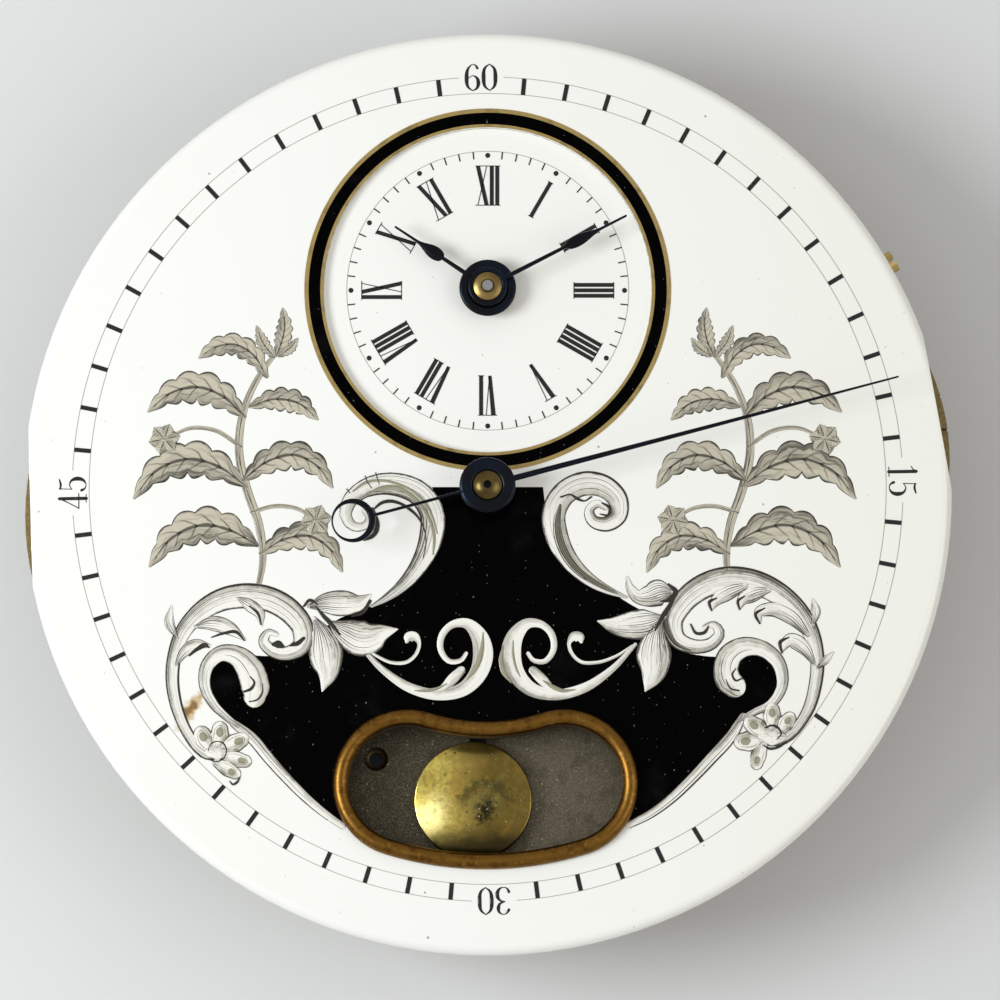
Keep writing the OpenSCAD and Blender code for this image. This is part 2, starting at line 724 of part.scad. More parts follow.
module seconds_pinion() color(steel) {
    leaves(at_s, seconds_pinion_n, third_mod, third_z - 0.15, third_z + wheel_t + 0.2, aim(at_s, at_t));
    post(at_s, third_pivot_r, low_bridge_z + 0.05, low_bridge_z + low_bridge_t + 0.1);
    post(at_s, 0.42, low_bridge_z + low_bridge_t + 0.05, plate_z + 0.05);
    post(at_s, seconds_r, plate_z, seconds_hand_z - 0.1);
}

module escape_wheel() color(steel) translate(at_e) rotate(aim(at_e, at_b) + 180 / escape_n) {
    rim = escape_r - cylinder_r - 0.14;
    slab(escape_z, escape_z + 0.22) difference() {
        union() {
            circle(r = rim);
            for (i = [0 : escape_n - 1]) rotate(i * 360 / escape_n)
                translate([rim - 0.2, -0.07]) square([escape_r - rim + 0.24, 0.14]);
        }
        circle(r = 0.35 + seat_gap);
        difference() {
            circle(r = rim - 0.45);
            circle(r = 0.8);
            for (i = [0 : 2]) rotate(i * 120) translate([0, -0.2]) square([rim, 0.4]);
        }
    }
    for (i = [0 : escape_n - 1]) rotate(i * 360 / escape_n) {
        post([escape_r - 0.04, 0], 0.07, escape_z + 0.1, escape_tooth_z + 0.1);
        slab(escape_tooth_z, escape_top)
            polygon([[escape_r - 0.14, -0.19], [escape_r - 0.12, 0.19], [escape_r + 0.04, 0.19]]);
    }
}

module escape_pinion() color(steel) {
    leaves(at_e, escape_pinion_n, seconds_mod, seconds_z - 0.15, seconds_z + wheel_t + 0.2,
        aim(at_e, at_s));
    post(at_e, third_pivot_r, low_bridge_z + 0.05, plate_z + 0.8);
    post(at_e, 0.35, low_bridge_z + low_bridge_t + 0.05, seconds_z);
    post(at_e, 0.35, seconds_z + 0.3, plate_z - 0.05);
    post(at_e, 0.55, escape_z + 0.23, escape_z + 0.4);
}

module balance_wheel() color(brass) translate(at_b) rotate(pendulum_lean)
    slab(balance_z, balance_z + balance_t) difference() {
        union() {
            difference() {
                circle(r = balance_r);
                circle(r = balance_r - 0.8);
            }
            circle(r = 1.2);
            for (i = [0 : 2]) rotate(30 + i * 120) translate([0, -0.35]) square([balance_r - 0.4, 0.7]);
        }
        circle(r = 0.5 + seat_gap);
    }

module counterpoise() color(gilt) translate(at_b) rotate(90 + pendulum_lean)
    for (d = [-24, -12, 0, 12, 24])
        post(polar(balance_r - 0.4, d), 0.36, balance_z - 0.45, balance_z);

module balance_staff() color(steel) {
    tube_in = cylinder_r - 0.1 - seat_gap;
    post(at_b, staff_pivot_r, cock_back + 0.02, cock_face + 0.1);
    post(at_b, 0.4, cock_face, balance_z + 0.1);
    post(at_b, 0.5, balance_z - 0.05, balance_z + balance_t);
    post(at_b, 0.8, balance_z + balance_t, balance_z + balance_t + 0.15);
    post(at_b, staff_r, balance_z + balance_t, 3.52);
    post(at_b, tube_in, 3.5, escape_z - 0.05);
    post(at_b, tube_in, escape_top + 0.12, 4.82);
    post(at_b, 0.5, 4.8, plate_z + 0.15);
    post(at_b, staff_front_r, plate_z, pendulum_z + 0.25);
}

// Tube of the escapement, cut open for the wheel's arms and, less far, for its teeth
module cylinder_() color(steel) difference() {
    far = 2 * cylinder_r;
    post(at_b, cylinder_r, 3.52, 4.8);
    post(at_b, cylinder_r - 0.1, 3, 5);
    for (cut = [[3.65, escape_tooth_z - 0.05, 45], [escape_tooth_z - 0.06, escape_top + 0.15, 75]])
        translate(at_b) rotate(aim(at_e, at_b)) slab(cut[0], cut[1])
            polygon([[0, 0], polar(far, cut[2]), [0, far], [-far, far], [-far, -far], [0, -far],
                polar(far, -cut[2])]);
}

module spring_collet() color(brass) difference() {
    post(at_b, collet_r - seat_gap, spring_z - 0.05, balance_z - 0.1);
    post(at_b, 0.4 + seat_gap, cock_face, balance_z + over);
}

module pendulum_arm() color(steel) translate(at_b) rotate(-90 + pendulum_lean) difference() {
    slab(pendulum_z, pendulum_z + 0.25) {
        circle(r = 0.9);
        bar([0, 0], [pendulum_len, 0], 0.4);
    }
    post(at_s, staff_front_r + seat_gap, pendulum_z - over, pendulum_z + 1);
}

module pendulum_disc() color(brass)
    post(at_b + polar(pendulum_len, -90 + pendulum_lean), pendulum_r, pendulum_z + 0.25, pendulum_z + 0.7);

module set_arbor() color(steel) {
    post(at_m, set_r, 0.4, minute_hand_z + 0.2);
    post(at_m, 0.26, minute_hand_z, minute_hand_z + 0.5);
}

module set_square() color(steel) difference() {
    post(at_m, set_recess_r - 0.1, 0.1, set_recess_z - 0.05);
    post(at_m, set_r + seat_gap, 0.39, 1);
    translate([at_m[0], at_m[1], 0]) cube([0.9, 0.9, 0.78], center = true);
}

module cannon_pinion() color(steel) difference() {
    union() {
        leaves(at_m, cannon_n, motion_mod, motion_z - 0.1, motion_z + 0.55, 0);
        post(at_m, 0.64, motion_z - 0.1, minute_hand_z - 0.1);
    }
    post(at_m, set_r + seat_gap, 0, minute_hand_z + 1);
}

module motion_wheel() wheel_color()
    wheel(at_w, motion_n, motion_mod, motion_z, 0.66 + seat_gap, 1.2, 4, 180);

module motion_pinion() color(steel) difference() {
    union() {
        leaves(at_w, motion_pinion_n, hour_mod, motion_z + wheel_t + 0.06, hour_z + 0.45, 180);
        post(at_w, 0.66, motion_z, motion_z + wheel_t);
        post(at_w, 0.8, motion_z + wheel_t + 0.01, motion_z + wheel_t + 0.08);
        post(at_w, 0.5, motion_z, hour_z + 0.45);
    }
    post(at_w, 0.35 + run_gap, 0, dial_top);
}

module hour_wheel() color(brass) {
    wheel(at_m, hour_n, hour_mod, hour_z, hour_pipe_r - 0.05, 1.6, 4, 0);
    difference() {
        post(at_m, hour_pipe_r, hour_z, hour_hand_z + hand_t);
        post(at_m, 0.64 + run_gap, hour_z - over, hour_hand_z + 1);
    }
}

// Half width of a hand that tapers from base to tip, with a swelling at bulge, blunt towards the hub
function hand_half(x, len, base, tip, bulge, bulge_len, bulge_w) =
    let (blunt = 0.45 * bulge_len, off = x - bulge)
    base + (tip - base) * x / len
    + bulge_w * (off < -blunt || off > bulge_len ? 0
        : off < 0 ? sqrt(1 - pow(off / blunt, 2)) : pow(cos(90 * off / bulge_len), 2));

// Outline of such a hand along +x
module hand_blade(len, base, tip, bulge, bulge_len, bulge_w) {
    steps = 72;
    xs = [for (i = [0 : steps]) len * i / steps];
    half = [for (x = xs) hand_half(x, len, base, tip, bulge, bulge_len, bulge_w)];
    polygon(concat([for (i = [0 : steps]) [xs[i], half[i]]],
        [for (i = [steps : -1 : 0]) [xs[i], -half[i]]]));
}

module hour_hand() color(blued) translate(at_m) rotate(hour_angle) difference() {
    union() {
        post(at_s, 1.43, hour_hand_z, hour_hand_z + hand_t);
        slab(hour_hand_z, hour_hand_z + hand_t) hand_blade(hour_len, 0.14, 0.055, 3.2, 1.1, 0.25);
    }
    post(at_s, hour_pipe_r + seat_gap, dial_top, hour_hand_z + 1);
}

module minute_hand() color(blued) translate(at_m) rotate(minute_angle) difference() {
    union() {
        post(at_s, 0.98, minute_hand_z, minute_hand_z + hand_t);
        slab(minute_hand_z, minute_hand_z + hand_t) hand_blade(minute_len, 0.13, 0.06, 5.05, 1.4, 0.22);
    }
    post(at_s, 0.7 + seat_gap, dial_top, minute_hand_z + 1);
}

module minute_hand_bush() color(brass) difference() {
    union() {
        post(at_m, 0.7, minute_hand_z - 0.05, minute_hand_z + 0.28);
        post(at_m, 0.85, minute_hand_z - 0.08, minute_hand_z - 0.02);
    }
    post(at_m, set_r + seat_gap, 0, minute_hand_z + 0.21);
    post(at_m, 0.26 + seat_gap, 0, minute_hand_z + 1);
}

module seconds_hand() color(blued) rotate(seconds_angle) difference() {
    top = seconds_hand_z + hand_t;
    union() {
        post(at_s, 1.4, seconds_hand_z, top);
        slab(seconds_hand_z, top) hand_blade(seconds_len, 0.16, 0.05, 0, 1, 0);
        translate([-ring_dist + ring_r - 0.1, -0.08, seconds_hand_z])
            cube([ring_dist - ring_r, 0.16, hand_t]);
        post([-ring_dist, 0], ring_r, seconds_hand_z, top);
    }
    post([-ring_dist - 0.13, 0], ring_r - 0.22, dial_top, top + over);
    post(at_s, 0.7 + seat_gap, dial_top, top + over);
}

module seconds_hand_bush() color(brass) difference() {
    union() {
        post(at_s, 0.7, seconds_hand_z - 0.5, seconds_hand_z + 0.4);
        post(at_s, 0.95, seconds_hand_z - 0.3, seconds_hand_z - 0.01);
    }
    post(at_s, seconds_r + seat_gap, 0, seconds_hand_z - 0.09);
    post(at_s, 0.2, 0, seconds_hand_z + 1);
}

main_plate();
dial_ring();
dial();
small_dial();
window_bezel();
dial_feet();
dial_foot_screws();
case_screws();
barrel_bridge();
train_bridge();
seconds_bridge();
escape_bridge();
balance_cock();
bridge_screws();
low_bridge_screws();
steady_pins();
seconds_bush();
plate_jewel();
cock_jewel();
endstone();
endstone_plate();
spring_stud();
balance_spring();
regulator();
click();
click_screw();
click_spring();
click_spring_screw();
motion_stud();
barrel_drum();
barrel_cover();
mainspring();
barrel_arbor();
ratchet_wheel();
minute_wheel();
minute_pinion();
third_wheel();
third_pinion();
seconds_wheel();
seconds_pinion();
seconds_hand();
seconds_hand_bush();
escape_wheel();
escape_pinion();
balance_wheel();
counterpoise();
balance_staff();
cylinder_();  // cylinder
spring_collet();
pendulum_arm();
pendulum_disc();
set_arbor();
set_square();
cannon_pinion();
minute_hand();
minute_hand_bush();
motion_wheel();
motion_pinion();
hour_wheel();
hour_hand();
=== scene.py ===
"""Looks of a key-wound watch movement: dial paint, bezel, pendulum bob, springs and every finish."""

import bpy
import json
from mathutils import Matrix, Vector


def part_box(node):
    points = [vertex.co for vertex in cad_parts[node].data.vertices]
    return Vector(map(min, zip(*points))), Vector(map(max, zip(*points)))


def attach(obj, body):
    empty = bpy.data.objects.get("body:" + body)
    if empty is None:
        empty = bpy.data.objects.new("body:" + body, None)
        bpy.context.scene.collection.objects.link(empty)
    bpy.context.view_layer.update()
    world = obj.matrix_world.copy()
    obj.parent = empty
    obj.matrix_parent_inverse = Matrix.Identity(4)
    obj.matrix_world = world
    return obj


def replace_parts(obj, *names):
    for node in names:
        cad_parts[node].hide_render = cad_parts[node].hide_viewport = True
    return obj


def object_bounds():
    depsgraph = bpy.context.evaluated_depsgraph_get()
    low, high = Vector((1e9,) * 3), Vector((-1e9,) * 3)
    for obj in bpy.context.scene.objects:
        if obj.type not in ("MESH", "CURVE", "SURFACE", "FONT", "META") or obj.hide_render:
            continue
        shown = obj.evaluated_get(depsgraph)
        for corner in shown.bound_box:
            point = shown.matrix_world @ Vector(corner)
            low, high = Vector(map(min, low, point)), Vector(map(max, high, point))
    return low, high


bl_info = {
    "name": "Watch movement dressing",
    "version": (1, 0, 0),
    "blender": (4, 5, 0),
    "location": "View3D > Sidebar > Watch",
    "description": "Paints the enamel dial and gives every metal part of the movement its finish",
    "category": "Object",
}

import json
import math
import types

import bmesh
import bpy
import numpy as np

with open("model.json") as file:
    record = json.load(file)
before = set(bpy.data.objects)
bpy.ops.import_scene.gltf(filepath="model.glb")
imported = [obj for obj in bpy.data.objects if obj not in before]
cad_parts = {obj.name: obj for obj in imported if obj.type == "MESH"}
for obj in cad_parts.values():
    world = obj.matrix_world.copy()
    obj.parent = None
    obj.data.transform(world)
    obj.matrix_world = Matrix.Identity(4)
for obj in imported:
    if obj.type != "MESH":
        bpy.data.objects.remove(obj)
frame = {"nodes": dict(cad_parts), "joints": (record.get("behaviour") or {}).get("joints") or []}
CAD_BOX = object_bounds()

MM = 0.001
DIAL_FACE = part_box("dial")[1].z / MM
SMALL_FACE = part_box("small_dial")[1].z / MM
SMALL_AT = np.array((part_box("small_dial")[0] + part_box("small_dial")[1])[:2]) / 2 / MM
BOB_LOW, BOB_HIGH = (np.array(c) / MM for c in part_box("pendulum_disc"))
BOB_AT = (BOB_LOW + BOB_HIGH) / 2
BEZEL_LOW, BEZEL_HIGH = (np.array(c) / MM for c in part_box("window_bezel"))
JOINT_AT = {j["name"]: np.array(j.get("pos_m", (0, 0, 0))) / MM for j in frame["joints"]}


def length(name, description, default):
    return bpy.props.FloatProperty(name=name, description=description, default=default * MM, min=0,
                                   unit="LENGTH", precision=5)


def colour(name, description, default):
    return bpy.props.FloatVectorProperty(name=name, description=description, default=default,
                                         subtype="COLOR", size=3, min=0, max=1)


def power(name, description, default):
    return bpy.props.FloatProperty(name=name, description=description, default=default, unit="POWER")


class WatchPrintSizes(bpy.types.PropertyGroup):
    """Sizes of what is printed and painted on the dial."""

    track_inner: length("Track inner radius", "Radius of the minute track's inner hairline", 19.93)
    track_outer: length("Track outer radius", "Radius of the minute track's outer hairline", 20.77)
    bar_width: length("Bar width", "Width of a minute bar", 0.22)
    hairline: length("Hairline", "Width of the finest printed lines", 0.034)
    figure_height: length("Figure height", "Height of the figures of the minute track", 1.39)
    ring_inner: length("Ring inner radius", "Inner radius of the black ring", 8.39)
    ring_outer: length("Ring outer radius", "Outer radius of the black ring", 9.0)
    gilding: length("Gilding width", "Width of the gold line outside the black ring", 0.2)
    chapter_radius: length("Chapter radius", "Radius of the small dial's minute circle", 7.08)
    tick: length("Tick length", "Length of the small dial's minute ticks", 0.38)
    numeral_foot: length("Numeral foot radius", "Radius on which the hour numerals stand", 4.33)
    numeral_height: length("Numeral height", "Height of the hour numerals", 2.0)
    film: length("Paint thickness", "How far a painted stroke stands on the enamel", 0.03)


class WatchColours(bpy.types.PropertyGroup):
    """Colours of the enamel, the paint and the metals."""

    white: colour("White enamel", "Ground of the dial", (0.92, 0.92, 0.895))
    black: colour("Black enamel", "Ground of the cartouche and the ring", (0.0007, 0.0007, 0.0009))
    ink: colour("Ink", "Printed bars and numerals", (0.008, 0.008, 0.009))
    gold: colour("Gold line", "Gilding beside the black ring", (0.42, 0.3, 0.105))
    hair: colour("Hairline", "Finest printed circles", (0.40, 0.37, 0.33))
    light: colour("Paint light", "Lit side of a painted scroll", (0.88, 0.865, 0.80))
    shade: colour("Paint shade", "Shaded side of a painted scroll", (0.30, 0.268, 0.195))
    tone: colour("Paint tone", "Olive bands inside the scrolls", (0.33, 0.315, 0.22))
    wash: colour("Paint wash", "Fill of the tall sprays", (0.56, 0.515, 0.405))
    line: colour("Paint line", "Outlines and hatching", (0.022, 0.018, 0.013))
    copper: colour("Bezel", "Bezel of the window", (0.215, 0.106, 0.02))
    bob: colour("Bob", "Polished disc of the pendulum", (0.66, 0.47, 0.12))
    gilt: colour("Gilding", "Frosted gilding of plate and bridges", (0.55, 0.41, 0.18))
    brass: colour("Brass", "Wheels and bushes", (0.60, 0.42, 0.15))
    steel: colour("Steel", "Bright steel parts", (0.45, 0.45, 0.46))
    blue: colour("Blued steel", "Hands, screws and springs", (0.012, 0.013, 0.017))


class WatchStage(bpy.types.PropertyGroup):
    """Camera and light."""

    elevation: bpy.props.FloatProperty(name="Elevation", description="Camera's angle above the dial",
                                       default=math.radians(83), subtype="ANGLE")
    view_width: length("View width", "Width of the picture at the dial", 50.0)
    distance: length("Distance", "Camera's distance from the dial", 360.0)
    key: power("Key light", "Power of the large soft lamp", 0.31)
    fill: power("Fill light", "Power of the weak lamp", 0.31)
    sky: bpy.props.FloatProperty(name="Sky", description="Strength of the even light", default=0.515)
    glint: power("Glint", "Power of the small lamp that the bob mirrors", 0.02)
    floor: colour("Floor", "Colour of the floor", (0.712, 0.72, 0.722))


def operation(kind, swapped=False):
    """A method of Wire that adds one Math node."""
    def method(self, *others):
        values = (*others, self) if swapped else (self, *others)
        return self.finish.node("ShaderNodeMath", {"operation": kind}, dict(enumerate(values)))
    return method


class Wire:
    """One output socket. Arithmetic on it adds Math nodes to its tree."""

    def __init__(self, finish, socket):
        self.finish, self.socket = finish, socket

    __add__ = __radd__ = operation("ADD")
    __mul__ = __rmul__ = operation("MULTIPLY")
    __sub__, __rsub__ = operation("SUBTRACT"), operation("SUBTRACT", swapped=True)
    __truediv__, __pow__ = operation("DIVIDE"), operation("POWER")
    __gt__, __lt__ = operation("GREATER_THAN"), operation("LESS_THAN")
    __abs__, fract = operation("ABSOLUTE"), operation("FRACT")

    def rise(self, low, high):
        """0 below low, 1 above high, smooth between; high may be the smaller one."""
        return self.finish.node("ShaderNodeMapRange", {"interpolation_type": "SMOOTHSTEP"},
                                {"Value": self, "From Min": low, "From Max": high})


class Finish:
    """A material under construction: a ground colour, and coats of paint, wear and dirt over it, in places
    also painted light and shade.
    """

    def __init__(self, name, ground):
        self.tint = ground
        self.material = bpy.data.materials.new(name)
        self.material.use_nodes = True
        self.tree = self.material.node_tree
        self.bsdf = self.tree.nodes["Principled BSDF"]
        place = self.node("ShaderNodeTexCoord", {}, {}, "Object")
        self.mm = self.node("ShaderNodeVectorMath", {"operation": "SCALE"}, {0: place, "Scale": 1 / MM})
        self.x, self.y, self.z = self.parts(self.mm)

    def node(self, kind, settings, values, out=0):
        """Adds a node: its settings first, then the values or links of its sockets; out names the
        output that comes back, or a tuple of them."""
        made = self.tree.nodes.new(kind)
        for key, value in settings.items():
            setattr(made, key, value)
        for key, value in values.items():
            self.plug(made.inputs[key], value)
        if isinstance(out, tuple):
            return [Wire(self, made.outputs[o]) for o in out]
        return Wire(self, made.outputs[out])

    def plug(self, socket, value):
        if isinstance(value, Wire):
            self.tree.links.new(value.socket, socket)
        elif hasattr(socket.default_value, "__len__") and len(socket.default_value) == 4:
            socket.default_value = (*value, 1)
        else:
            socket.default_value = value

    def parts(self, vector):
        return self.node("ShaderNodeSeparateXYZ", {}, {0: vector}, (0, 1, 2))

    def join(self, x, y, z=0.0):
        return self.node("ShaderNodeCombineXYZ", {}, {0: x, 1: y, 2: z})

    def mix(self, label, share, a, b):
        return self.node("ShaderNodeMix", {"data_type": "RGBA", "label": label}, {0: share, 6: a, 7: b}, 2)

    def coat(self, label, share, colour):
        """Lays a colour over what is there so far; the label says what it shows."""
        self.tint = self.mix(label, share, self.tint, colour)

    def noise(self, scale, detail=2.0, at=None):
        values = {"Vector": at or self.mm, "Scale": scale, "Detail": detail}
        return self.node("ShaderNodeTexNoise", {}, values)

    def dots(self, per_mm, radius, share, at=None):
        """Round specks: one at most in each cell of 1 / per_mm, kept in that share of the cells."""
        far, tint = self.node("ShaderNodeTexVoronoi", {"voronoi_dimensions": "2D"},
                              {"Vector": at or self.mm, "Scale": per_mm}, ("Distance", "Color"))
        pick, size, _ = self.parts(tint)
        return (far < size * (radius * per_mm)) * (pick > 1 - share)

    def bump(self, height, strength, depth):
        values = {"Height": height, "Strength": strength, "Distance": depth * MM}
        return self.node("ShaderNodeBump", {}, values)

    def done(self, **sockets):
        for key, value in {"Base_Color": self.tint, **sockets}.items():
            self.plug(self.bsdf.inputs[key.replace("_", " ")], value)
        return self.material


def near(f, at, along, across, turn):
    """Distance from a point in the dial's plane, measured in an ellipse's own half axes."""
    c, s = math.cos(turn), math.sin(turn)
    dx, dy = f.x - at[0], f.y - at[1]
    return ((dx * c + dy * s) ** 2 / along ** 2 + (dy * c - dx * s) ** 2 / across ** 2) ** 0.5


def scaled(colour, *shares):
    """A colour times one share, or times a share for each channel; no channel passes 1."""
    return [min(1, v * k) for v, k in zip(colour, shares if len(shares) == 3 else shares * 3)]


STAIN_AT = (-14.85, -11.1)
WINDOW_AT = (BEZEL_LOW + BEZEL_HIGH) / 2


def white_enamel(c):
    f = Finish("white_enamel", c.white)
    cloud = f.noise(0.06)
    stain = near(f, STAIN_AT, 1.15, 0.46, 1.0) + (f.noise(2.6, 4.0) - 0.5) * 1.5
    f.coat("cloud", cloud, scaled(c.white, 0.97, 0.96, 0.93))
    f.coat("warm right side", f.x.rise(2, 24) * 0.6, scaled(c.white, 0.955, 0.95, 0.875))
    f.coat("specks", f.dots(0.36, 0.075, 0.14) * 0.6, (0.10, 0.085, 0.06))
    f.coat("faint specks", f.dots(1.1, 0.045, 0.10) * 0.4, (0.28, 0.25, 0.21))
    f.coat("rust", stain.rise(1.05, 0.5) * 0.85, (0.52, 0.31, 0.08))
    f.coat("middle of the rust", stain.rise(0.6, 0.25) * 0.8, (0.17, 0.085, 0.02))
    return f.done(Roughness=cloud * 0.08 + 0.12, Coat_Weight=0.4, Coat_Roughness=0.04,
                  Normal=f.bump(f.noise(0.9, 1.0), 0.05, 0.03))


def black_enamel(c):
    f = Finish("black_enamel", c.black)
    smear, dust = f.noise(0.5, 4.0).rise(0.55, 0.85), (0.55, 0.55, 0.56)
    stretched = f.join(f.x * 3.5 + f.y, f.y - f.x * 0.6)
    f.coat("smear", smear * 0.02, (0.2, 0.2, 0.22))
    f.coat("dust", f.dots(1.5, 0.04, 0.1) * 0.25, dust)
    f.coat("fine dust", f.dots(2.6, 0.035, 0.12) * 0.14, dust)
    f.coat("fibres", f.dots(0.5, 0.09, 0.2, stretched) * 0.18, (0.5, 0.5, 0.5))
    return f.done(Roughness=smear * 0.15 + 0.12, Specular_IOR_Level=0.02)


def printed_ink(name, ink):
    f = Finish(name, ink)
    worn = f.noise(6.0).rise(0.62, 0.8)
    f.coat("worn", worn * 0.3, [v + 0.12 for v in ink])
    return f.done(Roughness=worn * 0.2 + 0.25)


def gold_line(c):
    f = Finish("gold_line", c.gold)
    rub = f.noise(1.6, 4.0)
    f.coat("rubbed", rub.rise(0.45, 0.75), scaled(c.gold, 0.55))
    return f.done(Metallic=0.55, Roughness=rub * 0.2 + 0.3)


def brushed_paint(name, light, shade, line, outline, hatching, ribs=0.0):
    """Enamel painter's strokes: UV x runs across a stroke and y along it, so outline, shaded side,
    hatching and a leaf's ribs follow every curve."""
    f = Finish(name, light)
    u, v, _ = f.parts(f.node("ShaderNodeUVMap", {"uv_map": "stroke"}, {}))
    tone = f.node("ShaderNodeAttribute", {"attribute_name": "tone"}, {}, "Fac")
    waver = f.noise(2.4) - 0.5
    off = abs(u * 2 - 1)
    edge = (off + waver * 0.22).rise(0.8, 0.95)
    side = (u + waver * 0.5).rise(0.4, 0.95)
    streak = f.noise(1.0, 3.0, f.join(u * 11 + waver * 1.5, v * 3.2, tone * 37))
    f.coat("shaded side", side * 0.6, shade)
    f.coat("hatching", streak.rise(0.50, 0.62) * (side * 0.75 + 0.25) * hatching,
           [0.3 * (a + b) for a, b in zip(shade, line)])
    f.coat("root", v.rise(0.30, 0.0) * streak.rise(0.42, 0.58) * hatching, line)
    f.coat("outline", edge * outline, line)
    if ribs:
        saw = (v * 8 - off * 1.3 + waver * 0.3).fract()
        rib = abs(saw * 2 - 1).rise(0.74, 0.96) * off.rise(1.0, 0.3) * 0.75
        middle = (off + waver * 0.1).rise(0.13, 0.05) * v.rise(1.0, 0.8)
        f.coat("ribs", (rib + middle) * ribs, line)
    return f.done(Roughness=streak * 0.1 + 0.15, Coat_Weight=0.3, Coat_Roughness=0.04)


def copper_round(c):
    f = Finish("copper_round", c.copper)
    patch, fine = f.noise(0.7, 3.0), f.noise(9.0, 3.0)
    crest = f.z.rise(DIAL_FACE + 0.3, DIAL_FACE + 0.5)
    wall = f.z.rise(DIAL_FACE + 0.15, DIAL_FACE - 0.15)
    f.coat("patches", patch.rise(0.3, 0.75), scaled(c.copper, 0.55, 0.5, 0.45))
    f.coat("worn crest", crest * patch.rise(0.35, 0.6) * 0.55, scaled(c.copper, 1.35, 1.4, 1.45))
    f.coat("dark mottle", f.noise(2.4, 5.0).rise(0.5, 0.68) * 0.55, scaled(c.copper, 0.35, 0.3, 0.3))
    f.coat("bright mottle", f.noise(3.6, 5.0).rise(0.58, 0.7) * 0.5, (0.42, 0.23, 0.07))
    # painted shade: the wall that goes down into the window is painted near black, as if in shadow; it is
    # also made less metallic and rougher
    f.coat("painted shade on the inner wall", wall * 0.85, (0.02, 0.014, 0.01))
    return f.done(Metallic=1 - wall, Roughness=fine * 0.2 + 0.26 + wall * 0.5,
                  Normal=f.bump(fine, 0.12, 0.01))


def polished_bob(c):
    f = Finish("polished_bob", c.bob)
    smear, fine = f.noise(0.9, 3.0), f.noise(7.0, 3.0)
    waver = smear - 0.5
    across, height = (f.x - BOB_AT[0] + waver * 0.9), (f.y - BOB_AT[1] + waver * 0.8)
    rings = f.noise(1.0, 1.0, f.join(near(f, BOB_AT, 1, 1, 0) * 16, 0))
    # worn marks a painted highlight: a bright patch on the bob's lower left
    worn = (near(f, BOB_AT + (-2.1, -0.9, 0), 1.0, 1.7, -0.5) + waver * 0.8).rise(1.1, 0.3)
    grime = (near(f, BOB_AT + (0.65, -0.1, 0), 1.25, 1.0, 0.4) + waver * 1.6).rise(1.1, 0.2)
    halo = abs(near(f, BOB_AT + (0.65, -0.2, 0), 1.1, 1.05, 0) - 1) + (f.noise(4.0, 4.0) - 0.5) * 1.3
    halo = halo.rise(0.45, 0.0) * (f.y - BOB_AT[1]).rise(-0.6, 0.3)
    pit = (near(f, BOB_AT + (0.62, -0.5, 0), 0.62, 0.85, -0.2) + (fine - 0.5) * 1.7).rise(1.15, 0.2)
    scratches = f.dots(2.6, 0.05, 0.16, f.join(f.x * 1.6 + f.y, f.y - f.x * 0.5))
    f.coat("smear", smear.rise(0.45, 0.75) * 0.45, scaled(c.bob, 0.8, 0.75, 0.6))
    # painted highlight: the bob's left side is painted brighter
    f.coat("painted highlight on the left side", across.rise(-0.2, -1.8) * 0.8, (1.0, 0.84, 0.2))
    # painted shade: the bob's right side is painted darker
    f.coat("painted shade on the right side", across.rise(-1.0, 1.0) * 0.82, (0.14, 0.084, 0.019))
    f.coat("fine tarnish", f.noise(4.5, 6.0).rise(0.4, 0.62) * 0.35, (0.27, 0.225, 0.035))
    f.coat("brown tarnish", f.noise(1.5, 4.0).rise(0.5, 0.68) * 0.4, (0.48, 0.27, 0.04))
    # painted highlight on the bob's lower left, under the label worn
    f.coat("worn", worn * 0.7, (1.0, 0.88, 0.4))
    f.coat("grime", grime * 0.6, (0.22, 0.18, 0.06))
    f.coat("halo of the pit", halo * 0.7, (0.07, 0.072, 0.022))
    f.coat("pit", pit * 0.95, (0.02, 0.02, 0.01))
    f.coat("sparks in the pit", f.dots(5.0, 0.05, 0.3) * pit * 0.8, (0.8, 0.78, 0.6))
    f.coat("olive tarnish", f.noise(3.2, 5.0).rise(0.52, 0.66) * 0.45, (0.30, 0.26, 0.07))
    f.coat("specks", f.dots(2.0, 0.06, 0.3) * 0.7, (0.05, 0.045, 0.02))
    f.coat("scratches", scratches * 0.6, (0.9, 0.82, 0.5))
    # painted shade and painted dark reflection: the bob is darker towards its foot, where the bezel shades
    # it, and a little at its head
    f.coat("painted shade and dark reflection at foot and head", height.rise(-1.0, -2.3) * 0.92 + height.rise(1.7, 2.8) * 0.35,
           (0.035, 0.024, 0.009))
    return f.done(Metallic=0.88, Roughness=grime * 0.2 + fine * 0.08 + 0.11,
                  Normal=f.bump(rings, 0.04, 0.01))


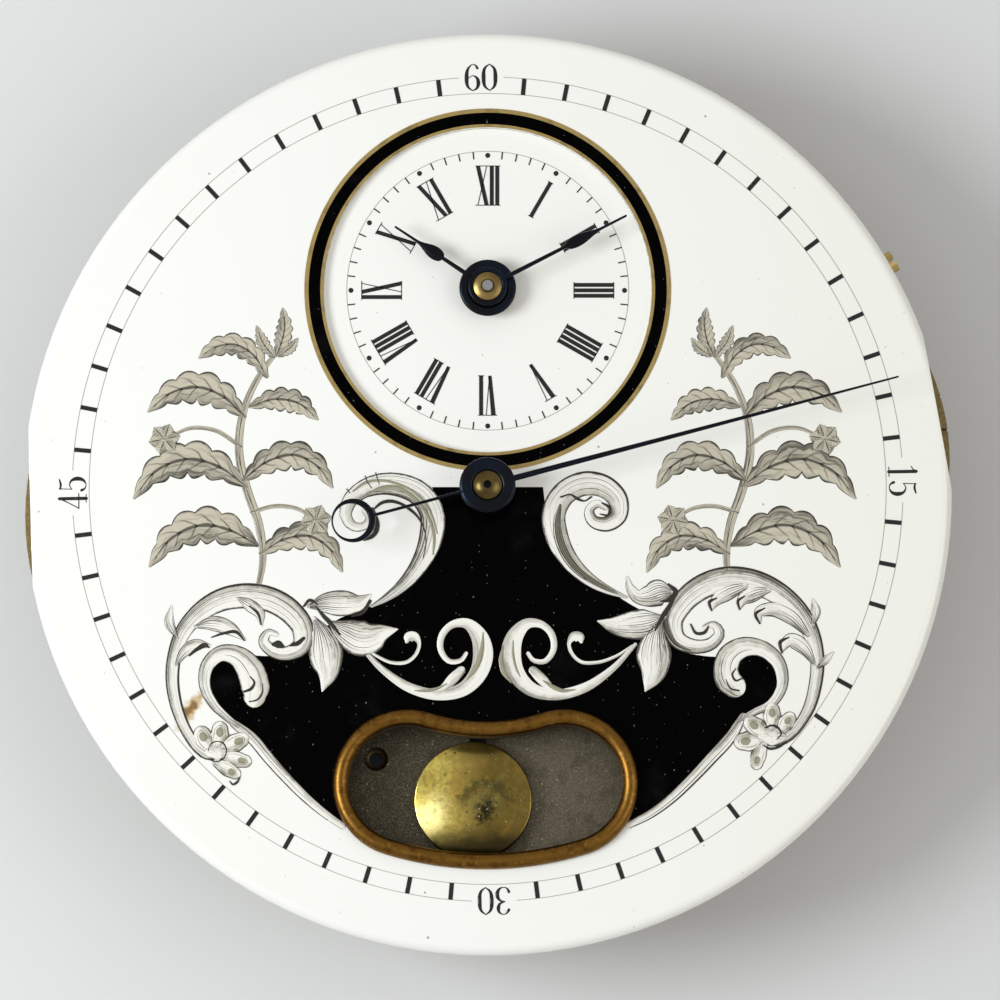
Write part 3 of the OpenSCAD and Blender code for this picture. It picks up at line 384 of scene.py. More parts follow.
def frosted_gilt(c):
    """Gilding, darker where the plate shows in the window and on the plate's side; in the window the plate
    also gets painted shade towards its left.
    """
    f = Finish("frosted_gilt", c.gilt)
    grain, patch = f.noise(16.0, 3.0), f.noise(0.35, 4.0)
    f.coat("patches", patch.rise(0.4, 0.75), scaled(c.gilt, 0.72, 0.68, 0.6))
    f.coat("grain", grain.rise(0.55, 0.8) * 0.35, scaled(c.gilt, 0.45))
    # light grows from left to right across the window: painted shade on the plate's left, with random tone
    # from the noise and patches
    light = f.x.rise(-6.5, 5.5) * 0.45 + f.noise(11.0, 5.0).rise(0.36, 0.66) * 0.45 + patch * 0.1
    stretched = f.join(f.x * 0.7 + f.y * 0.5, f.y * 5 - f.x * 3)
    bronze = f.mix("bronze", light, (0.045, 0.036, 0.022), (0.215, 0.188, 0.135))
    bronze = f.mix("specks", f.dots(4.0, 0.045, 0.2) * 0.6, bronze, (0.5, 0.46, 0.36))
    bronze = f.mix("scratches", f.dots(1.2, 0.06, 0.3, stretched) * 0.5, bronze, (0.36, 0.33, 0.26))
    bronze = f.mix("tarnish", f.noise(1.3, 5.0).rise(0.5, 0.7) * 0.4, bronze, (0.05, 0.042, 0.028))
    shown = near(f, WINDOW_AT, 7.6, 4.3, 0).rise(1.3, 0.95) * f.z.rise(7.9, 8.1)
    f.coat("plate in the window", shown, bronze)
    side = f.mix("side", f.noise(7.0, 4.0).rise(0.3, 0.7) * 0.6, (0.17, 0.12, 0.055), (0.36, 0.27, 0.12))
    f.coat("plate's side", near(f, (0, 0), 1, 1, 0).rise(22.0, 22.35) * 0.85, side)
    return f.done(Metallic=1.0, Roughness=grain * 0.25 + 0.3, Normal=f.bump(grain, 0.35, 0.012))


def worked_metal(name, base, low, rough, grain_scale, metallic=1.0):
    """Turned or filed metal: base colour with darker drifts, a fine grain and a little unevenness."""
    f = Finish(name, base)
    grain, drift = f.noise(grain_scale, 3.0), f.noise(0.6, 3.0)
    f.coat("drift", drift.rise(0.4, 0.75), low)
    return f.done(Metallic=metallic, Roughness=grain * 0.18 + rough, Normal=f.bump(grain, 0.08, 0.006))


def jewel():
    f = Finish("ruby", (0.36, 0.008, 0.03))
    f.coat("cloud", f.noise(1.5), (0.55, 0.03, 0.07))
    return f.done(Roughness=0.06, Coat_Weight=0.5)


FINISHES = {}


def finish(look):
    """The material of that look; all of them are made at the first call."""
    if not FINISHES:
        c = bpy.context.scene.watch_colours
        inks = {"ink": ("printed_ink", c.ink), "hair": ("printed_hairline", c.hair),
                "line": ("painted_line", c.line)}
        paints = {  # lit side, shaded side, lines, then how strong the outline, hatching and ribs are
            "scroll": ("scroll_paint", c.light, c.shade, c.line, 0.95, 0.8),
            "pale": ("pale_scroll_paint", c.light, c.shade, c.line, 0.12, 0.55),
            "tone": ("tone_paint", c.tone, scaled(c.tone, 0.6), c.line, 0.1, 0.5),
            "cup": ("cup_paint", c.light, c.tone, c.tone, 0.9, 0.8),
            "deep": ("deep_paint", scaled(c.tone, 0.5), scaled(c.tone, 0.2), c.line, 0.2, 0.7),
            "spray": ("spray_paint", c.wash, scaled(c.wash, 0.36), c.line, 0.95, 0.9, 0.85),
        }
        metals = {  # colour, colour of the drifts, roughness, grains to a mm, metallic
            # painted dark reflection: two darker copies of brass for the bushes of the hands, standing in
            # for the dark surroundings their domes mirror
            "dark_reflection": ("brass_painted_dark_reflection", scaled(c.brass, 0.56), scaled(c.brass, 0.3), 0.24, 5.0),
            "darker_reflection": ("brass_painted_darker_reflection", scaled(c.brass, 0.26), scaled(c.brass, 0.1), 0.2, 5.0),
            "brass": ("wheel_brass", c.brass, scaled(c.brass, 0.7), 0.22, 5.0),
            "steel": ("bright_steel", c.steel, scaled(c.steel, 0.65), 0.2, 6.0),
            "blue": ("blued_steel", c.blue, (0.010, 0.017, 0.034), 0.16, 6.0, 0.9),
        }
        FINISHES.update(white=white_enamel(c), black=black_enamel(c), gold=gold_line(c), ruby=jewel(),
                        copper=copper_round(c), bob=polished_bob(c), gilt=frosted_gilt(c))
        for maker, table in ((printed_ink, inks), (brushed_paint, paints), (worked_metal, metals)):
            FINISHES.update({key: maker(*row) for key, row in table.items()})
    return FINISHES[look]


def rows(text):
    """Numbers of a text: a row for each word, split at its commas."""
    return np.array([[float(v) for v in word.split(",")] for word in text.split()])


def curve(p, n):
    """Smooth line through rows of x, y or x, y, half-width, in n even steps: cubic Hermite pieces whose
    tangents are central differences over the chord length."""
    t = np.r_[0, np.cumsum(np.linalg.norm(np.diff(p[:, :2], axis=0), axis=1))]
    m = np.gradient(p, t, axis=0)
    s = np.linspace(0, t[-1], n)
    i = np.clip(np.searchsorted(t, s, side="right") - 1, 0, len(t) - 2)
    h = (t[i + 1] - t[i])[:, None]
    u = (s - t[i])[:, None] / h
    return ((2 * u ** 3 - 3 * u ** 2 + 1) * p[i] + (u ** 3 - 2 * u ** 2 + u) * h * m[i]
            + (3 * u ** 2 - 2 * u ** 3) * p[i + 1] + (u ** 3 - u ** 2) * h * m[i + 1])


def on_dial(text):
    """Rows of the painting's sheet in mm: x runs to the right of the seconds arbor and y upwards."""
    p = rows(text)
    return (p - SHEET_AT[:p.shape[1]]) * SHEET_UNIT[:p.shape[1]]


def drawn(text, n):
    """A stroke of the painting's sheet as a curve in mm."""
    return curve(on_dial(text), n)


def sideways(path):
    """Unit vectors to the left of a path's course."""
    along = np.gradient(path[:, :2], axis=0)
    along /= np.linalg.norm(along, axis=1)[:, None]
    return np.stack([-along[:, 1], along[:, 0]], -1)


def sample(line, at):
    """Points of a line at places counted in its own points."""
    return np.stack([np.interp(at, np.arange(len(line)), line[:, k]) for k in (0, 1)], -1)


def mirrored(path, middle):
    """A path of x, y and half-width, mirrored in the upright line x = middle."""
    return path * (-1, 1, 1) + (2 * middle, 0, 0)


def beside(path, across, start, stop, half, n=30):
    """A fine line that keeps to part of a stroke's course, at a share of its half-width from the middle;
    it swells from both ends like a pen line."""
    moved = path[:, :2] + across * path[:, 2:] * sideways(path)
    line = sample(moved, np.linspace(start, stop, n) * (len(path) - 1))
    return np.c_[line, half * np.sin(np.linspace(0.15, math.pi - 0.15, n)) ** 0.6]


def rounded(path, n=5):
    """A path of x, y and half-width with half a disc added to each end: the width falls as a cosine while
    the course goes on by the sine."""
    a = np.linspace(0, math.pi / 2, n + 1)[1:]
    caps = []
    for end, before in ((0, 1), (-1, -2)):
        out = path[end, :2] - path[before, :2]
        out /= np.linalg.norm(out)
        half = path[end, 2]
        caps.append(np.c_[path[end, :2] + np.outer(abs(half) * np.sin(a), out), half * np.cos(a)])
    return np.concatenate([caps[0][::-1], path, caps[1]])


LEAST_HALF = 0.006  # of a stroke's width, mm


class Shell:
    """Closed tubes of rings, gathered into one mesh. Lengths are in mm until the mesh is made."""

    def __init__(self):
        self.points, self.faces, self.uv, self.tone, self.count = [], [], [], [], 0

    def tubes(self, rings, loop=False, uv=None, tone=0.0):
        """rings has the shape (tubes, rings, points of a ring, 3). A looped tube meets its own start,
        and any other gets a face at each end."""
        s, n, k = rings.shape[:3]
        i = np.arange(s * n * k).reshape(s, n, k) + self.count
        a, b = (i, np.roll(i, -1, 1)) if loop else (i[:, :-1], i[:, 1:])
        sides = np.stack([a, np.roll(a, -1, 2), np.roll(b, -1, 2), b], -1)
        self.faces += sides.reshape(-1, 4).tolist()
        if not loop:
            self.faces += i[:, 0].tolist() + i[:, -1].tolist()
        self.points.append(rings.reshape(-1, 3))
        self.uv.append(np.zeros((s * n * k, 2)) if uv is None else uv.reshape(-1, 2))
        self.tone.append(np.full(s * n * k, tone))
        self.count += s * n * k

    def stroke(self, path, base, film, steps=9, tone=0.0):
        """A brush stroke: along a path of x, y and half-width goes a low dome, z = film * sqrt(1 - a^4)
        for a from the shaded edge (1) to the lit edge (-1), closed underneath. No place is
        narrower than LEAST_HALF."""
        path = rounded(path)
        side, half = sideways(path), path[:, 2]
        a = np.cos(np.linspace(0, np.pi, steps))
        out = a[None] * np.where(abs(half) < LEAST_HALF, LEAST_HALF, half)[:, None]
        rings = np.stack([path[:, :1] + side[:, :1] * out, path[:, 1:2] + side[:, 1:] * out,
                          base + film * np.sqrt(1 - a ** 4)[None] + 0 * out], -1)
        v = np.linspace(0, 1, len(path))
        uv = np.stack(np.broadcast_arrays(0.5 + 0.5 * a[None], v[:, None]), -1)
        self.tubes(rings[None], uv=uv, tone=tone)

    def bars(self, ends, base, film):
        """Straight bars: rows of x0, y0, x1, y1, half-width at the start and at the end."""
        e = np.asarray(ends, float)
        start, stop = e[:, 0:2], e[:, 2:4]
        d = stop - start
        d /= np.linalg.norm(d, axis=1)[:, None]
        side = np.stack([-d[:, 1], d[:, 0]], -1)
        rings = np.empty((len(e), 2, 4, 3))
        for j, (p, half) in enumerate(((start, e[:, 4:5]), (stop, e[:, 5:6]))):
            for k, (sign, z) in enumerate(((1, base), (1, base + film), (-1, base + film), (-1, base))):
                rings[:, j, k, :2] = p + sign * half * side
                rings[:, j, k, 2] = z
        self.tubes(rings)

    def turned(self, centre, profile, turns=(0.0, 360.0), n=240):
        """A closed profile of radius and height, carried round an upright axis."""
        whole = turns[1] - turns[0] == 360.0
        a = np.radians(np.linspace(*turns, n, endpoint=not whole))[:, None]
        r, z = np.asarray(profile, float).T
        rings = np.stack([centre[0] + r * np.sin(a), centre[1] + r * np.cos(a), z + 0 * a], -1)
        self.tubes(rings[None], loop=whole)

    def collar(self, inner, outer, low, high, n=120):
        """A ring with rounded edges between two circles, each x, y and radius: from a = -1 at the inner
        circle to 1 at the outer one the top stands at low + (high - low) * sqrt(1 - a^6)."""
        turn = np.linspace(0, 2 * math.pi, n, endpoint=False)[:, None]
        around = np.stack([np.cos(turn), np.sin(turn)], -1)
        a = np.cos(np.linspace(0, math.pi, 15))[None, :, None]
        flat = sum((1 + s * a) / 2 * (np.array(c[:2]) + c[2] * around)
                   for s, c in ((-1, inner), (1, outer)))
        z = low + (high - low) * np.sqrt(1 - a ** 6) + 0 * flat[..., :1]
        self.tubes(np.concatenate([flat, z], -1)[None], loop=True)

    def make(self, name, look, body="frame", slot="enamel", sharp=35):
        """Turns the gathered tubes into one object that rides on a body; edges above sharp degrees stay."""
        mesh = bpy.data.meshes.new(name)
        mesh.from_pydata(np.concatenate(self.points) * MM, [], self.faces)
        for key, kind, field, values in (
                ("tone", "FLOAT", "value", self.tone), ("place", "FLOAT2", "vector", self.uv)):
            layer = mesh.attributes.new(key, kind, "POINT")
            layer.data.foreach_set(field, np.concatenate(values).ravel().astype(np.float32))
        work = bmesh.new()
        work.from_mesh(mesh)
        bmesh.ops.remove_doubles(work, verts=work.verts, dist=1e-8)
        bmesh.ops.recalc_face_normals(work, faces=work.faces)
        work.to_mesh(mesh)
        work.free()
        corner = np.empty(len(mesh.loops), np.int32)
        mesh.loops.foreach_get("vertex_index", corner)
        place = np.empty(len(mesh.vertices) * 2, np.float32)
        mesh.attributes["place"].data.foreach_get("vector", place)
        mesh.uv_layers.new(name="stroke").data.foreach_set("uv", place.reshape(-1, 2)[corner].ravel())
        mesh.attributes.remove(mesh.attributes["place"])
        mesh.shade_smooth()
        mesh.set_sharp_from_angle(angle=math.radians(sharp))
        mesh.materials.append(finish(look))
        piece = bpy.data.objects.new(name, mesh)
        bpy.context.scene.collection.objects.link(piece)
        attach(piece, body)
        return piece


def band(r0, r1, base, film):
    """Profile of a flat ring."""
    return [(r0, base), (r0, base + film), (r1, base + film), (r1, base)]


def spread(degrees, r):
    """Points at clock angles, 0 at the top and clockwise, at radius r."""
    a = np.radians(degrees)
    return np.stack([np.sin(a) * r, np.cos(a) * r], -1)


def turned_text(strokes, degrees, r):
    """Moves a drawing with its foot at y = 0 out to radius r and round to a clock angle."""
    a = math.radians(degrees)
    x, y = strokes[:, 0], strokes[:, 1] + r
    return np.c_[x * math.cos(a) + y * math.sin(a), y * math.cos(a) - x * math.sin(a), strokes[:, 2:]]


FIGURES = {  # strokes in a box one high and about 0.54 wide
    "0": ["0.27,0.985,.018 .12,.86,.05 .055,.5,.085 .12,.14,.05 .27,.015,.018",
          "0.27,0.985,.018 .42,.86,.05 .485,.5,.085 .42,.14,.05 .27,.015,.018"],
    "1": [".29,.985,.07 .29,.5,.07 .29,.02,.07",
          ".27,.975,.02 .2,.88,.022 .1,.82,.016", ".12,.015,.018 .46,.015,.018"],
    "3": [".07,.83,.06 .13,.93,.035 .26,.985,.018 .41,.9,.05 .44,.76,.075 .38,.6,.05 .2,.53,.018",
          ".2,.53,.018 .38,.48,.045 .475,.28,.085 .4,.08,.05 .24,.015,.018 .11,.07,.035 .06,.17,.06"],
    "4": [".39,.985,.03 .22,.64,.022 .03,.29,.022", ".02,.28,.022 .55,.28,.022",
          ".38,.97,.065 .38,.5,.07 .38,.02,.07", ".24,.015,.018 .52,.015,.018"],
    "5": [".12,.98,.02 .11,.76,.018 .1,.53,.018", ".12,.945,.035 .27,.925,.045 .45,.97,.03",
          ".1,.53,.018 .25,.61,.022 .4,.55,.045 .48,.33,.085 "
          ".41,.1,.055 .25,.015,.018 .11,.07,.035 .06,.17,.06"],
    "6": [".45,.85,.055 .4,.94,.035 .29,.985,.018 .14,.86,.045 .06,.5,.085 .12,.14,.05 .27,.015,.018",
          ".27,.015,.018 .42,.1,.05 .485,.3,.08 .42,.5,.05 .28,.57,.018 .13,.48,.018"],
}

# The painting is drawn on a sheet of 1000 by 1000 units with y downwards. Its strokes are rows of
# x,y,half-width.
SHEET_AT = np.array((487.5, 490.0, 0.0))  # the seconds arbor
SHEET_UNIT = np.array((0.05, -0.05037, 0.05))  # mm to a unit

CARTOUCHE_EDGE = {  # from the straight top edge down to the window's bezel
    "left": "432,487 436,505 436,523 430,545 419,565 403,584 385,598 366,608 "
            "340,618 316,634 300,650 280,655 255,655 232,652 214,662 207,684 "
            "215,706 233,722 252,737 270,758 288,778 308,798 326,813 342,824",
    "right": "543,487 545,505 547,520 553,540 563,558 577,573 594,585 612,593 630,604 "
             "650,616 664,632 676,648 700,655 724,656 745,652 768,660 777,682 772,700 "
             "758,708 742,718 728,738 710,758 690,778 670,797 648,812 628,822",
}

# Each scroll: its course, then its pen lines as across,start,stop,half-width in mm. A course's negative
# half-width puts the shaded side on its right.
SCROLLS = [
    # borders from the flowers down to the bezel
    ("234,722,4 252,736,5.5 270,757,5.5 288,777,5 308,797,4.5 326,812,4 343,824,3.5",
     "-1,0,.9,.03 .3,.02,.5,.03 -.2,.1,.75,.02"),
    ("742,716,-4 730,735,-5.5 710,757,-5.5 690,778,-5 670,797,-4.5 648,813,-4 628,823,-3.5",
     "-1,.05,1,.045 -.4,.1,.95,.03 .5,0,.3,.03"),
    # inner scrolls
    ("238,725,3 227,716,3.5 215,704,4.5 206,686,5.5 209,664,7 222,653,8.5 "
     "238,656,11 249,667,14 255,681,15 256,690,14.5 255.5,695,12",
     "1,.02,.55,.022 .35,.05,.6,.016 -.3,.12,.5,.014 -.2,.62,.9,.03 .45,.6,.93,.02 -1,.02,.4,.014"),
    ("738,720,-3 754,711,-3.5 770,703,-4.5 781,684,-5.5 777,662,-7 760,648,-8.5 "
     "742,647,-10.5 729,656,-12.5 725,669,-13 728,680,-13.5 733,685,-12.5",
     "1,.02,.6,.022 .4,.05,.6,.018 -.2,.12,.5,.014 -.35,.66,.93,.03 .35,.8,.98,.03"),
    # large curled stems
    ("218,751,7 209,753,6 200,747.5,5.2 191,736,5 183,721,5 176,700,5.5 173,676,6 "
     "176,652,6.5 185,630,8 201,612,9.5 222,600,11 247,596,12 271,600,12 291,612,11.5 "
     "303,629,10.5 302,645,9 288,653,7 272,650,6 264,640,5 269,632,3.6 277,634,2.4",
     "1,0,.55,.04 1,.42,.86,.065 -1,.06,.36,.06 -1,.5,.97,.02 .55,.2,.66,.02 .15,.3,.6,.018 "
     "-.3,.34,.56,.014 .4,.58,.82,.022 -.1,.62,.8,.016 -.55,.64,.78,.014 .72,.36,.52,.016 "
     ".2,.8,.97,.016 1,.82,1,.025"),
    ("769,737,-8 779,738,-6.5 789,733,-5.5 799,722,-5 808,706,-5.5 814,684,-6 816,661,-6.5 "
     "811,636,-8 799,613,-9.5 778,594,-11 752,582,-12 724,580,-12.5 700,588,-12 682,603,-11 "
     "672,622,-10 677,639,-8.5 693,646,-7 711,643,-6 719,632,-5 713,624,-3.6 704,627,-2.4",
     "1,0,.5,.055 1,.36,.72,.06 1,.66,1,.03 -1,.05,.3,.02 -1,.5,.97,.018 .5,.16,.62,.022 "
     ".75,.3,.6,.03 .1,.3,.56,.016 .45,.6,.84,.02 0,.62,.8,.016 -.5,.64,.8,.014 .25,.82,.97,.016"),
    # two upright scrolls beside the straight edge
    ("372,606,1.5 386,598,4 405,583,6.5 421,562,9 431,538,11.5 432,513,12 420,494,12 400,485,11.5 "
     "380,484,10.5 362,490,9 349,502,7.5 346,516,6 353,526,5 364,526,4.2 369,518,3.4 364,511,2.4",
     "1,.12,.72,.035 .55,.05,.6,.03 .3,.1,.55,.022 .8,.2,.6,.026 0,.22,.62,.016 "
     "-1,.1,1,.018 -.35,.35,.8,.014 -.7,.4,.75,.014 .7,.62,.8,.03"),
    ("626,597,-1.5 610,591,-4 590,580,-6.5 570,561,-9 557,537,-11.5 554,512,-12 565,493,-12 584,484,-12 "
     "604,487,-11 618,501,-9.5 618,516,-8 606,524,-7 592,520,-5.5 589,510,-4.5 597,503.5,-4 605,508,-2.5",
     "-1,.42,.8,.03 -1,.55,.78,.06 -1,.72,.92,.045 1,.7,.98,.03 -.5,.44,.8,.018 "
     "-.1,.46,.78,.016 .4,.5,.74,.018 -.3,.12,.44,.016 0,.1,.46,.014 .3,.78,.98,.018"),
]

SHADOWS = [  # dark inner faces
    "560,506,2.5 557.5,522,5 560,540,6.2 567,556,6 578,570,5 592,580,3.8 606,588,2.6 617,593,1",
    "672,600,.8 666,612,2.6 668,630,3.4 676,643,2.4 690,650,1",
]

LEAVES = [
    # leaflets on the large stems
    "238,598,2 250,604,7 260,613,5.5 262,625,1.2", "196,626,2 213,623,7.5 230,628,7 245,639,1.5",
    "177,664,2 186,650,6 198,644,5.5 209,645,2.2", "178,637,1.5 170,622,5 172,606,1",
    "744,586,4 728,592,8 716,600,6 711,609,1.5", "767,590,4 752,594,8 742,600,6 739,608,1.5",
    "807,634,3 790,616,8 772,609,7.5 758,613,5 759,622,1.5", "814,664,2 802,646,7.5 789,640,7 780,651,1.5",
    "812,624,2 815,611,5 812,599,1", "816,668,1.5 824,660,4 832,652,1",
    # leaves spread over the black ground
    "309,606,2 325,603,10 343,603,13 360,602,8 370,595,1.5",
    "315,618,2 322,634,11 326,650,17 327,660,16 328,673,10.5 323,690,1.2",
    "330,622,2 347,632,14 362,638,18 372,637,16 381,633,10 397,629,1.2",
    "672,592,2 660,592,13 648,596,11 637,596,7 630,588,4.5 627,577,1.2",
    "660,620,2 655,637,12 653.5,652,17.5 653,671,13 648,684,6 645,690,1.2",
    "664,617,2 647,623,14.5 631,625,14 614,625,9 598,621,1.2",
]

PETALS = [  # from the outer end to the middle of each flower, then the knob
    "203.5,734,9 206,739,10.2 210,746,6", "221,729,8.5 220.5,735,10 219,743,6",
    "242,739,8 236,742,9.5 227,746,6",
    "246,760,6.5 239,758.5,8 227,755,5", "236,772,6 229,768,7.5 219,762,5",
    "213,750.5,7 218.5,750.5,8.8 223.5,750.5,7",
    "751,723,8.5 756,727,10 763,732,6", "771,710,8 771,716,9.3 771,723,6",
    "788,718,7 785,722,8.5 780,729,5.5",
    "742,740.5,9 748,740,10.5 757,738.5,6", "755.5,762,6.3 757,755,7.8 761,745,5.5",
    "764.5,735,8 771,735,10.5 777,735,8",
]

ACCENTS = [  # short dark touches of the brush
    "251,676,.5 255,682,1.2 252,688,1.6 245,691,1.1", "263,683,.4 263,692,.8 258,699,.9 250,701,.6",
    "735,668,.5 731.5,674,1.1 735,680,1.1 741,678,.7", "725,679,.4 730,688,.9 738,690,.9",
    "209.5,750,.5 211,744,.7 217,740.5,.9 224,742,1 227.5,749,.9 225,757,.8 218,760.5,.8 210,758,.7",
    "764,727,.8 771,724.5,1.5 777,727,1.6 780,733,1.3 776,738,.8",
    "762,744,.8 768,747.5,1.3 776,746.5,1.2 785,741,1", "231,780,.6 234,783,1 238,781,1.2 241,776,.6",
    "756,753,.6 755,759,1.2 757,764,.9",
    "372,508,1 375,516,2.2 377,525,2.6 375.5,532,2.6 371,537,2 364,540,1",
    "374,509,.8 381,503,1.6 390,501,1.8 399,503,1.5 408,508,1.6 "
    "417,516,1.2 424,529,.7 426,543,.6 423,558,.5",
    "365,476,.5 367,482,.6", "375.5,473,.6 379,484,.5", "346.5,489,.5 350,493,.5",
    "367,482,.5 371.6,488,.5",
    "190,655,1 198,648.5,2 207,645,2.2 209.5,647,.8", "212,637,.6 226,632.5,1.5 236,631.5,1.8 245,640,.8",
    "250,606,.8 258,613,1.6 261.5,624,1", "274,644,2 278.5,644,4 283,646,2",
    "291,645,1.2 298,643,2.4 304,638,1.8",
    "304,606,1 310,600,1.6 318,604,.8", "316,606,.8 324,616,2 331,623,2.4 340,634,1.2",
    "352,616,.8 362,613,1.6 370,601,1.8",
    "668,584,1 675,592,3 668,600,2 660,601,.8", "675,596,1 668,608,2.6 660,620,2.4 655,630,1",
    "561,497,1 570,494.5,.9 578,499,1.5 584,501,.8 591,497,1",
    "602,503,.8 609.5,508,1.7 608,515,1.3 600,514,.6",
    "711,610,1 709,602,1.8 716,598,.8", "739,609,1 737.5,601,1.6 744,596,.8",
    "759,623,1 755,614,1.8 764,608,.8",
    "781,652,1.2 779.5,642,2 788,637,.8", "690,624,.8 696,633,1.5 704,632,1.6 708,626,.8",
]

TONES = [  # olive bands
    "353,491,.8 366,482.5,1.4 383,480.5,1.5 399,484.5,1.5 414,492,1.4 425.5,504,1.5 433,519,1.5 437,533,1",
    "366,495,1 381,488,2 395,487,2.2 408,493,2.2 420,504,2.2 429.5,520,2.2 434,538,2 433,554,1",
    "483,632,.5 482,648,2.4 479,660,3 474,670,2.6 467,679,.6",
    "447,683,.5 437,688,1.5 425,690,1.6 415,690,.5",
    "503,645,.5 501,660,2.4 504,672,2.6 511,682,.6", "513,640,.5 513,655,1.5 516,668,1.4 520,676,.5",
    "543,680,.5 552,686,2.2 562,690,2 575,689,.6",
]

PALE_SCROLLS = [  # the right half
    "635,644,1.8 610,670,3.6 582,688,5.2 554,694,6 530,688,7.5 515,671,9.5 511,651,10.5 "
    "516,634,8.5 528,623,5.5 541,624,4 552,635,3.6 553,650,3.2 544,661,2.8 532,659,2.4 528,653,2",
    "632,645,1 615,656,1.6 596,662,1.8 580,661,1.9 571,652,1.9 569,642,2.2 574,636,5 580,638,5 581,641,2",
    "533,670,4.5 541,678,5.5 552,688,3.5 565,691,1.5",
]
PALE_LEFT_CURL = ("362,645,1 378,656,1.6 392,662,1.8 408,661,1.9 "
                  "417,652,1.9 419,642,2.2 414,636,5 408,638,5 407,641,2")
PALE_MIRROR = 0.475  # x of the line between the halves

SPRAY_STEMS = [
    "258,590,2.5 263,560,3.6 259,525,4.4 247,490,4.6 "
    "239,455,4.4 241,420,4 252,388,3.4 265,366,2.8 276,352,2",
    "252,512,2 276,506,2.2 298,509,2 312,517,1.5", "240,446,2 214,430,2.2 190,428,2 170,436,1.5",
]
SPRAY_LEAVES = [
    "257,545,3 232,531,16 203,525,20 172,538,15 150,566,2",
    "261,553,3 285,539,13 309,536,15 330,549,11 342,571,2",
    "246,486,3 217,466,16 187,459,20 156,471,14 134,498,2",
    "243,480,3 268,461,14 294,455,16 318,467,11 332,487,2",
    "244,416,3 222,396,15 197,387,18 170,393,13 148,411,2", "250,406,3 274,399,12 298,403,12 317,419,2",
    "266,376,3 252,354,11 234,344,12 212,348,9 199,357,2",
    "276,354,3.5 282,338,9 284,324,8 282,308,1.5", "273,356,3 262,342,7 256,326,1.5",
    "279,355,3 290,347,6 297,338,1.2",
]
SPRAY_FLOWERS = "316,520,15 164,439,15"
SPRAY_MIRROR = 0.35  # x of the line between the sprays


SINK, PAINT_SINK = 0.01, 0.005  # how deep print and paint reach into the enamel
DIAL_PRINT, SMALL_PRINT, DIAL_PAINT = DIAL_FACE - SINK, SMALL_FACE - SINK, DIAL_FACE - PAINT_SINK


def print_sizes(context):
    """The sizes of WatchPrintSizes in mm."""
    group, keys = context.scene.watch_sizes, WatchPrintSizes.__annotations__
    return types.SimpleNamespace(**{key: getattr(group, key) / MM for key in keys})


GOLDEN = 0.381966  # the golden section's smaller part
LIFT = 0.001  # between strokes that lie one on another


def tone_of(k):
    """A tone for the stroke of that number: steps of the golden section, so that neighbours differ."""
    return (k * GOLDEN) % 1


def paint_strokes(shell, paths, base, film, lift=0.0):
    """One stroke on another: each may lie a little higher than the one before it."""
    for k, path in enumerate(paths):
        shell.stroke(path, base + lift * k, film, tone=tone_of(k))


def lobed(path, lobes, depth):
    """A leaf whose edge is scalloped: half-width times 1 - depth + depth * |sin|."""
    t = np.linspace(0, math.pi * lobes, len(path))
    return path * np.stack([t ** 0, t ** 0, 1 - depth + depth * abs(np.sin(t)) ** 0.8], -1)


def petals(x, y, r, n=6):
    """Strokes of an open flower seen from the front, the last one its middle."""
    span = np.linspace(0, 1, 20)
    half = r * 0.46 * np.sin(math.pi * np.clip(0.08 + span * 0.9, 0, 1)) ** 0.7
    for k in range(n):
        a, out = 2 * math.pi * (k + 0.2) / n, r * (0.15 + 0.85 * span)
        yield np.stack([x + out * math.cos(a), y + out * math.sin(a), half], -1)
    knob = r * 0.26 * np.sin(math.pi * (0.1 + 0.8 * span))
    yield np.stack([x + r * (0.5 * span - 0.25), y + 0 * span, knob], -1)


TRACK_AT, TRACK_TURN = np.array((0.0, 0.19)), -0.9  # the print sits a little high and askew
FIGURE_GAP = 3.1  # degrees kept free beside the middle of a figure
FIGURE_PITCH, FIGURE_SHIFT = 0.62, 0.03  # by the figure's height
FIGURE_FOOT = 0.13  # above the inner hairline
HAIR_FILM = 0.7  # a hairline's thickness by that of other print


class WATCH_OT_minute_track(bpy.types.Operator):
    """Minute bars between two hairline circles, and the four figures"""

    bl_idname = "watch.minute_track"
    bl_label = "Minute track"

    def execute(self, context):
        s = print_sizes(context)
        minutes = np.array([m for m in range(60) if m % 15]) * 6.0 + TRACK_TURN
        half, fine = np.full((len(minutes), 2), s.bar_width / 2), s.hairline / 2
        track, circles, figures = Shell(), Shell(), Shell()
        radii = (s.track_inner, s.track_outer)
        track.bars(np.hstack([*(spread(minutes, r) + TRACK_AT for r in radii), half]), DIAL_PRINT, s.film)
        inner, outer = (band(r - fine, r + fine, DIAL_PRINT, s.film * HAIR_FILM) for r in radii)
        circles.turned(TRACK_AT, inner, n=360)
        for quarter in (90 * k + TRACK_TURN for k in range(4)):
            circles.turned(TRACK_AT, outer, (quarter + FIGURE_GAP, quarter + 90 - FIGURE_GAP), 90)
        circles.make("minute_circles", "hair")
        track.make("minute_track", "ink")
        size, foot = s.figure_height, s.track_inner + FIGURE_FOOT
        for text, degrees in (("60", 0), ("15", 90), ("30", 180), ("45", 270)):
            for k, digit in enumerate(text):
                for stroke in FIGURES[digit]:
                    line = (curve(rows(stroke), 24) + ((k - 1) * FIGURE_PITCH + FIGURE_SHIFT, 0, 0)) * size
                    line = turned_text(line, degrees + TRACK_TURN, foot) + (*TRACK_AT, 0)
                    figures.stroke(line, DIAL_PRINT, s.film, steps=5)
        figures.make("minute_figures", "ink")
        return {"FINISHED"}


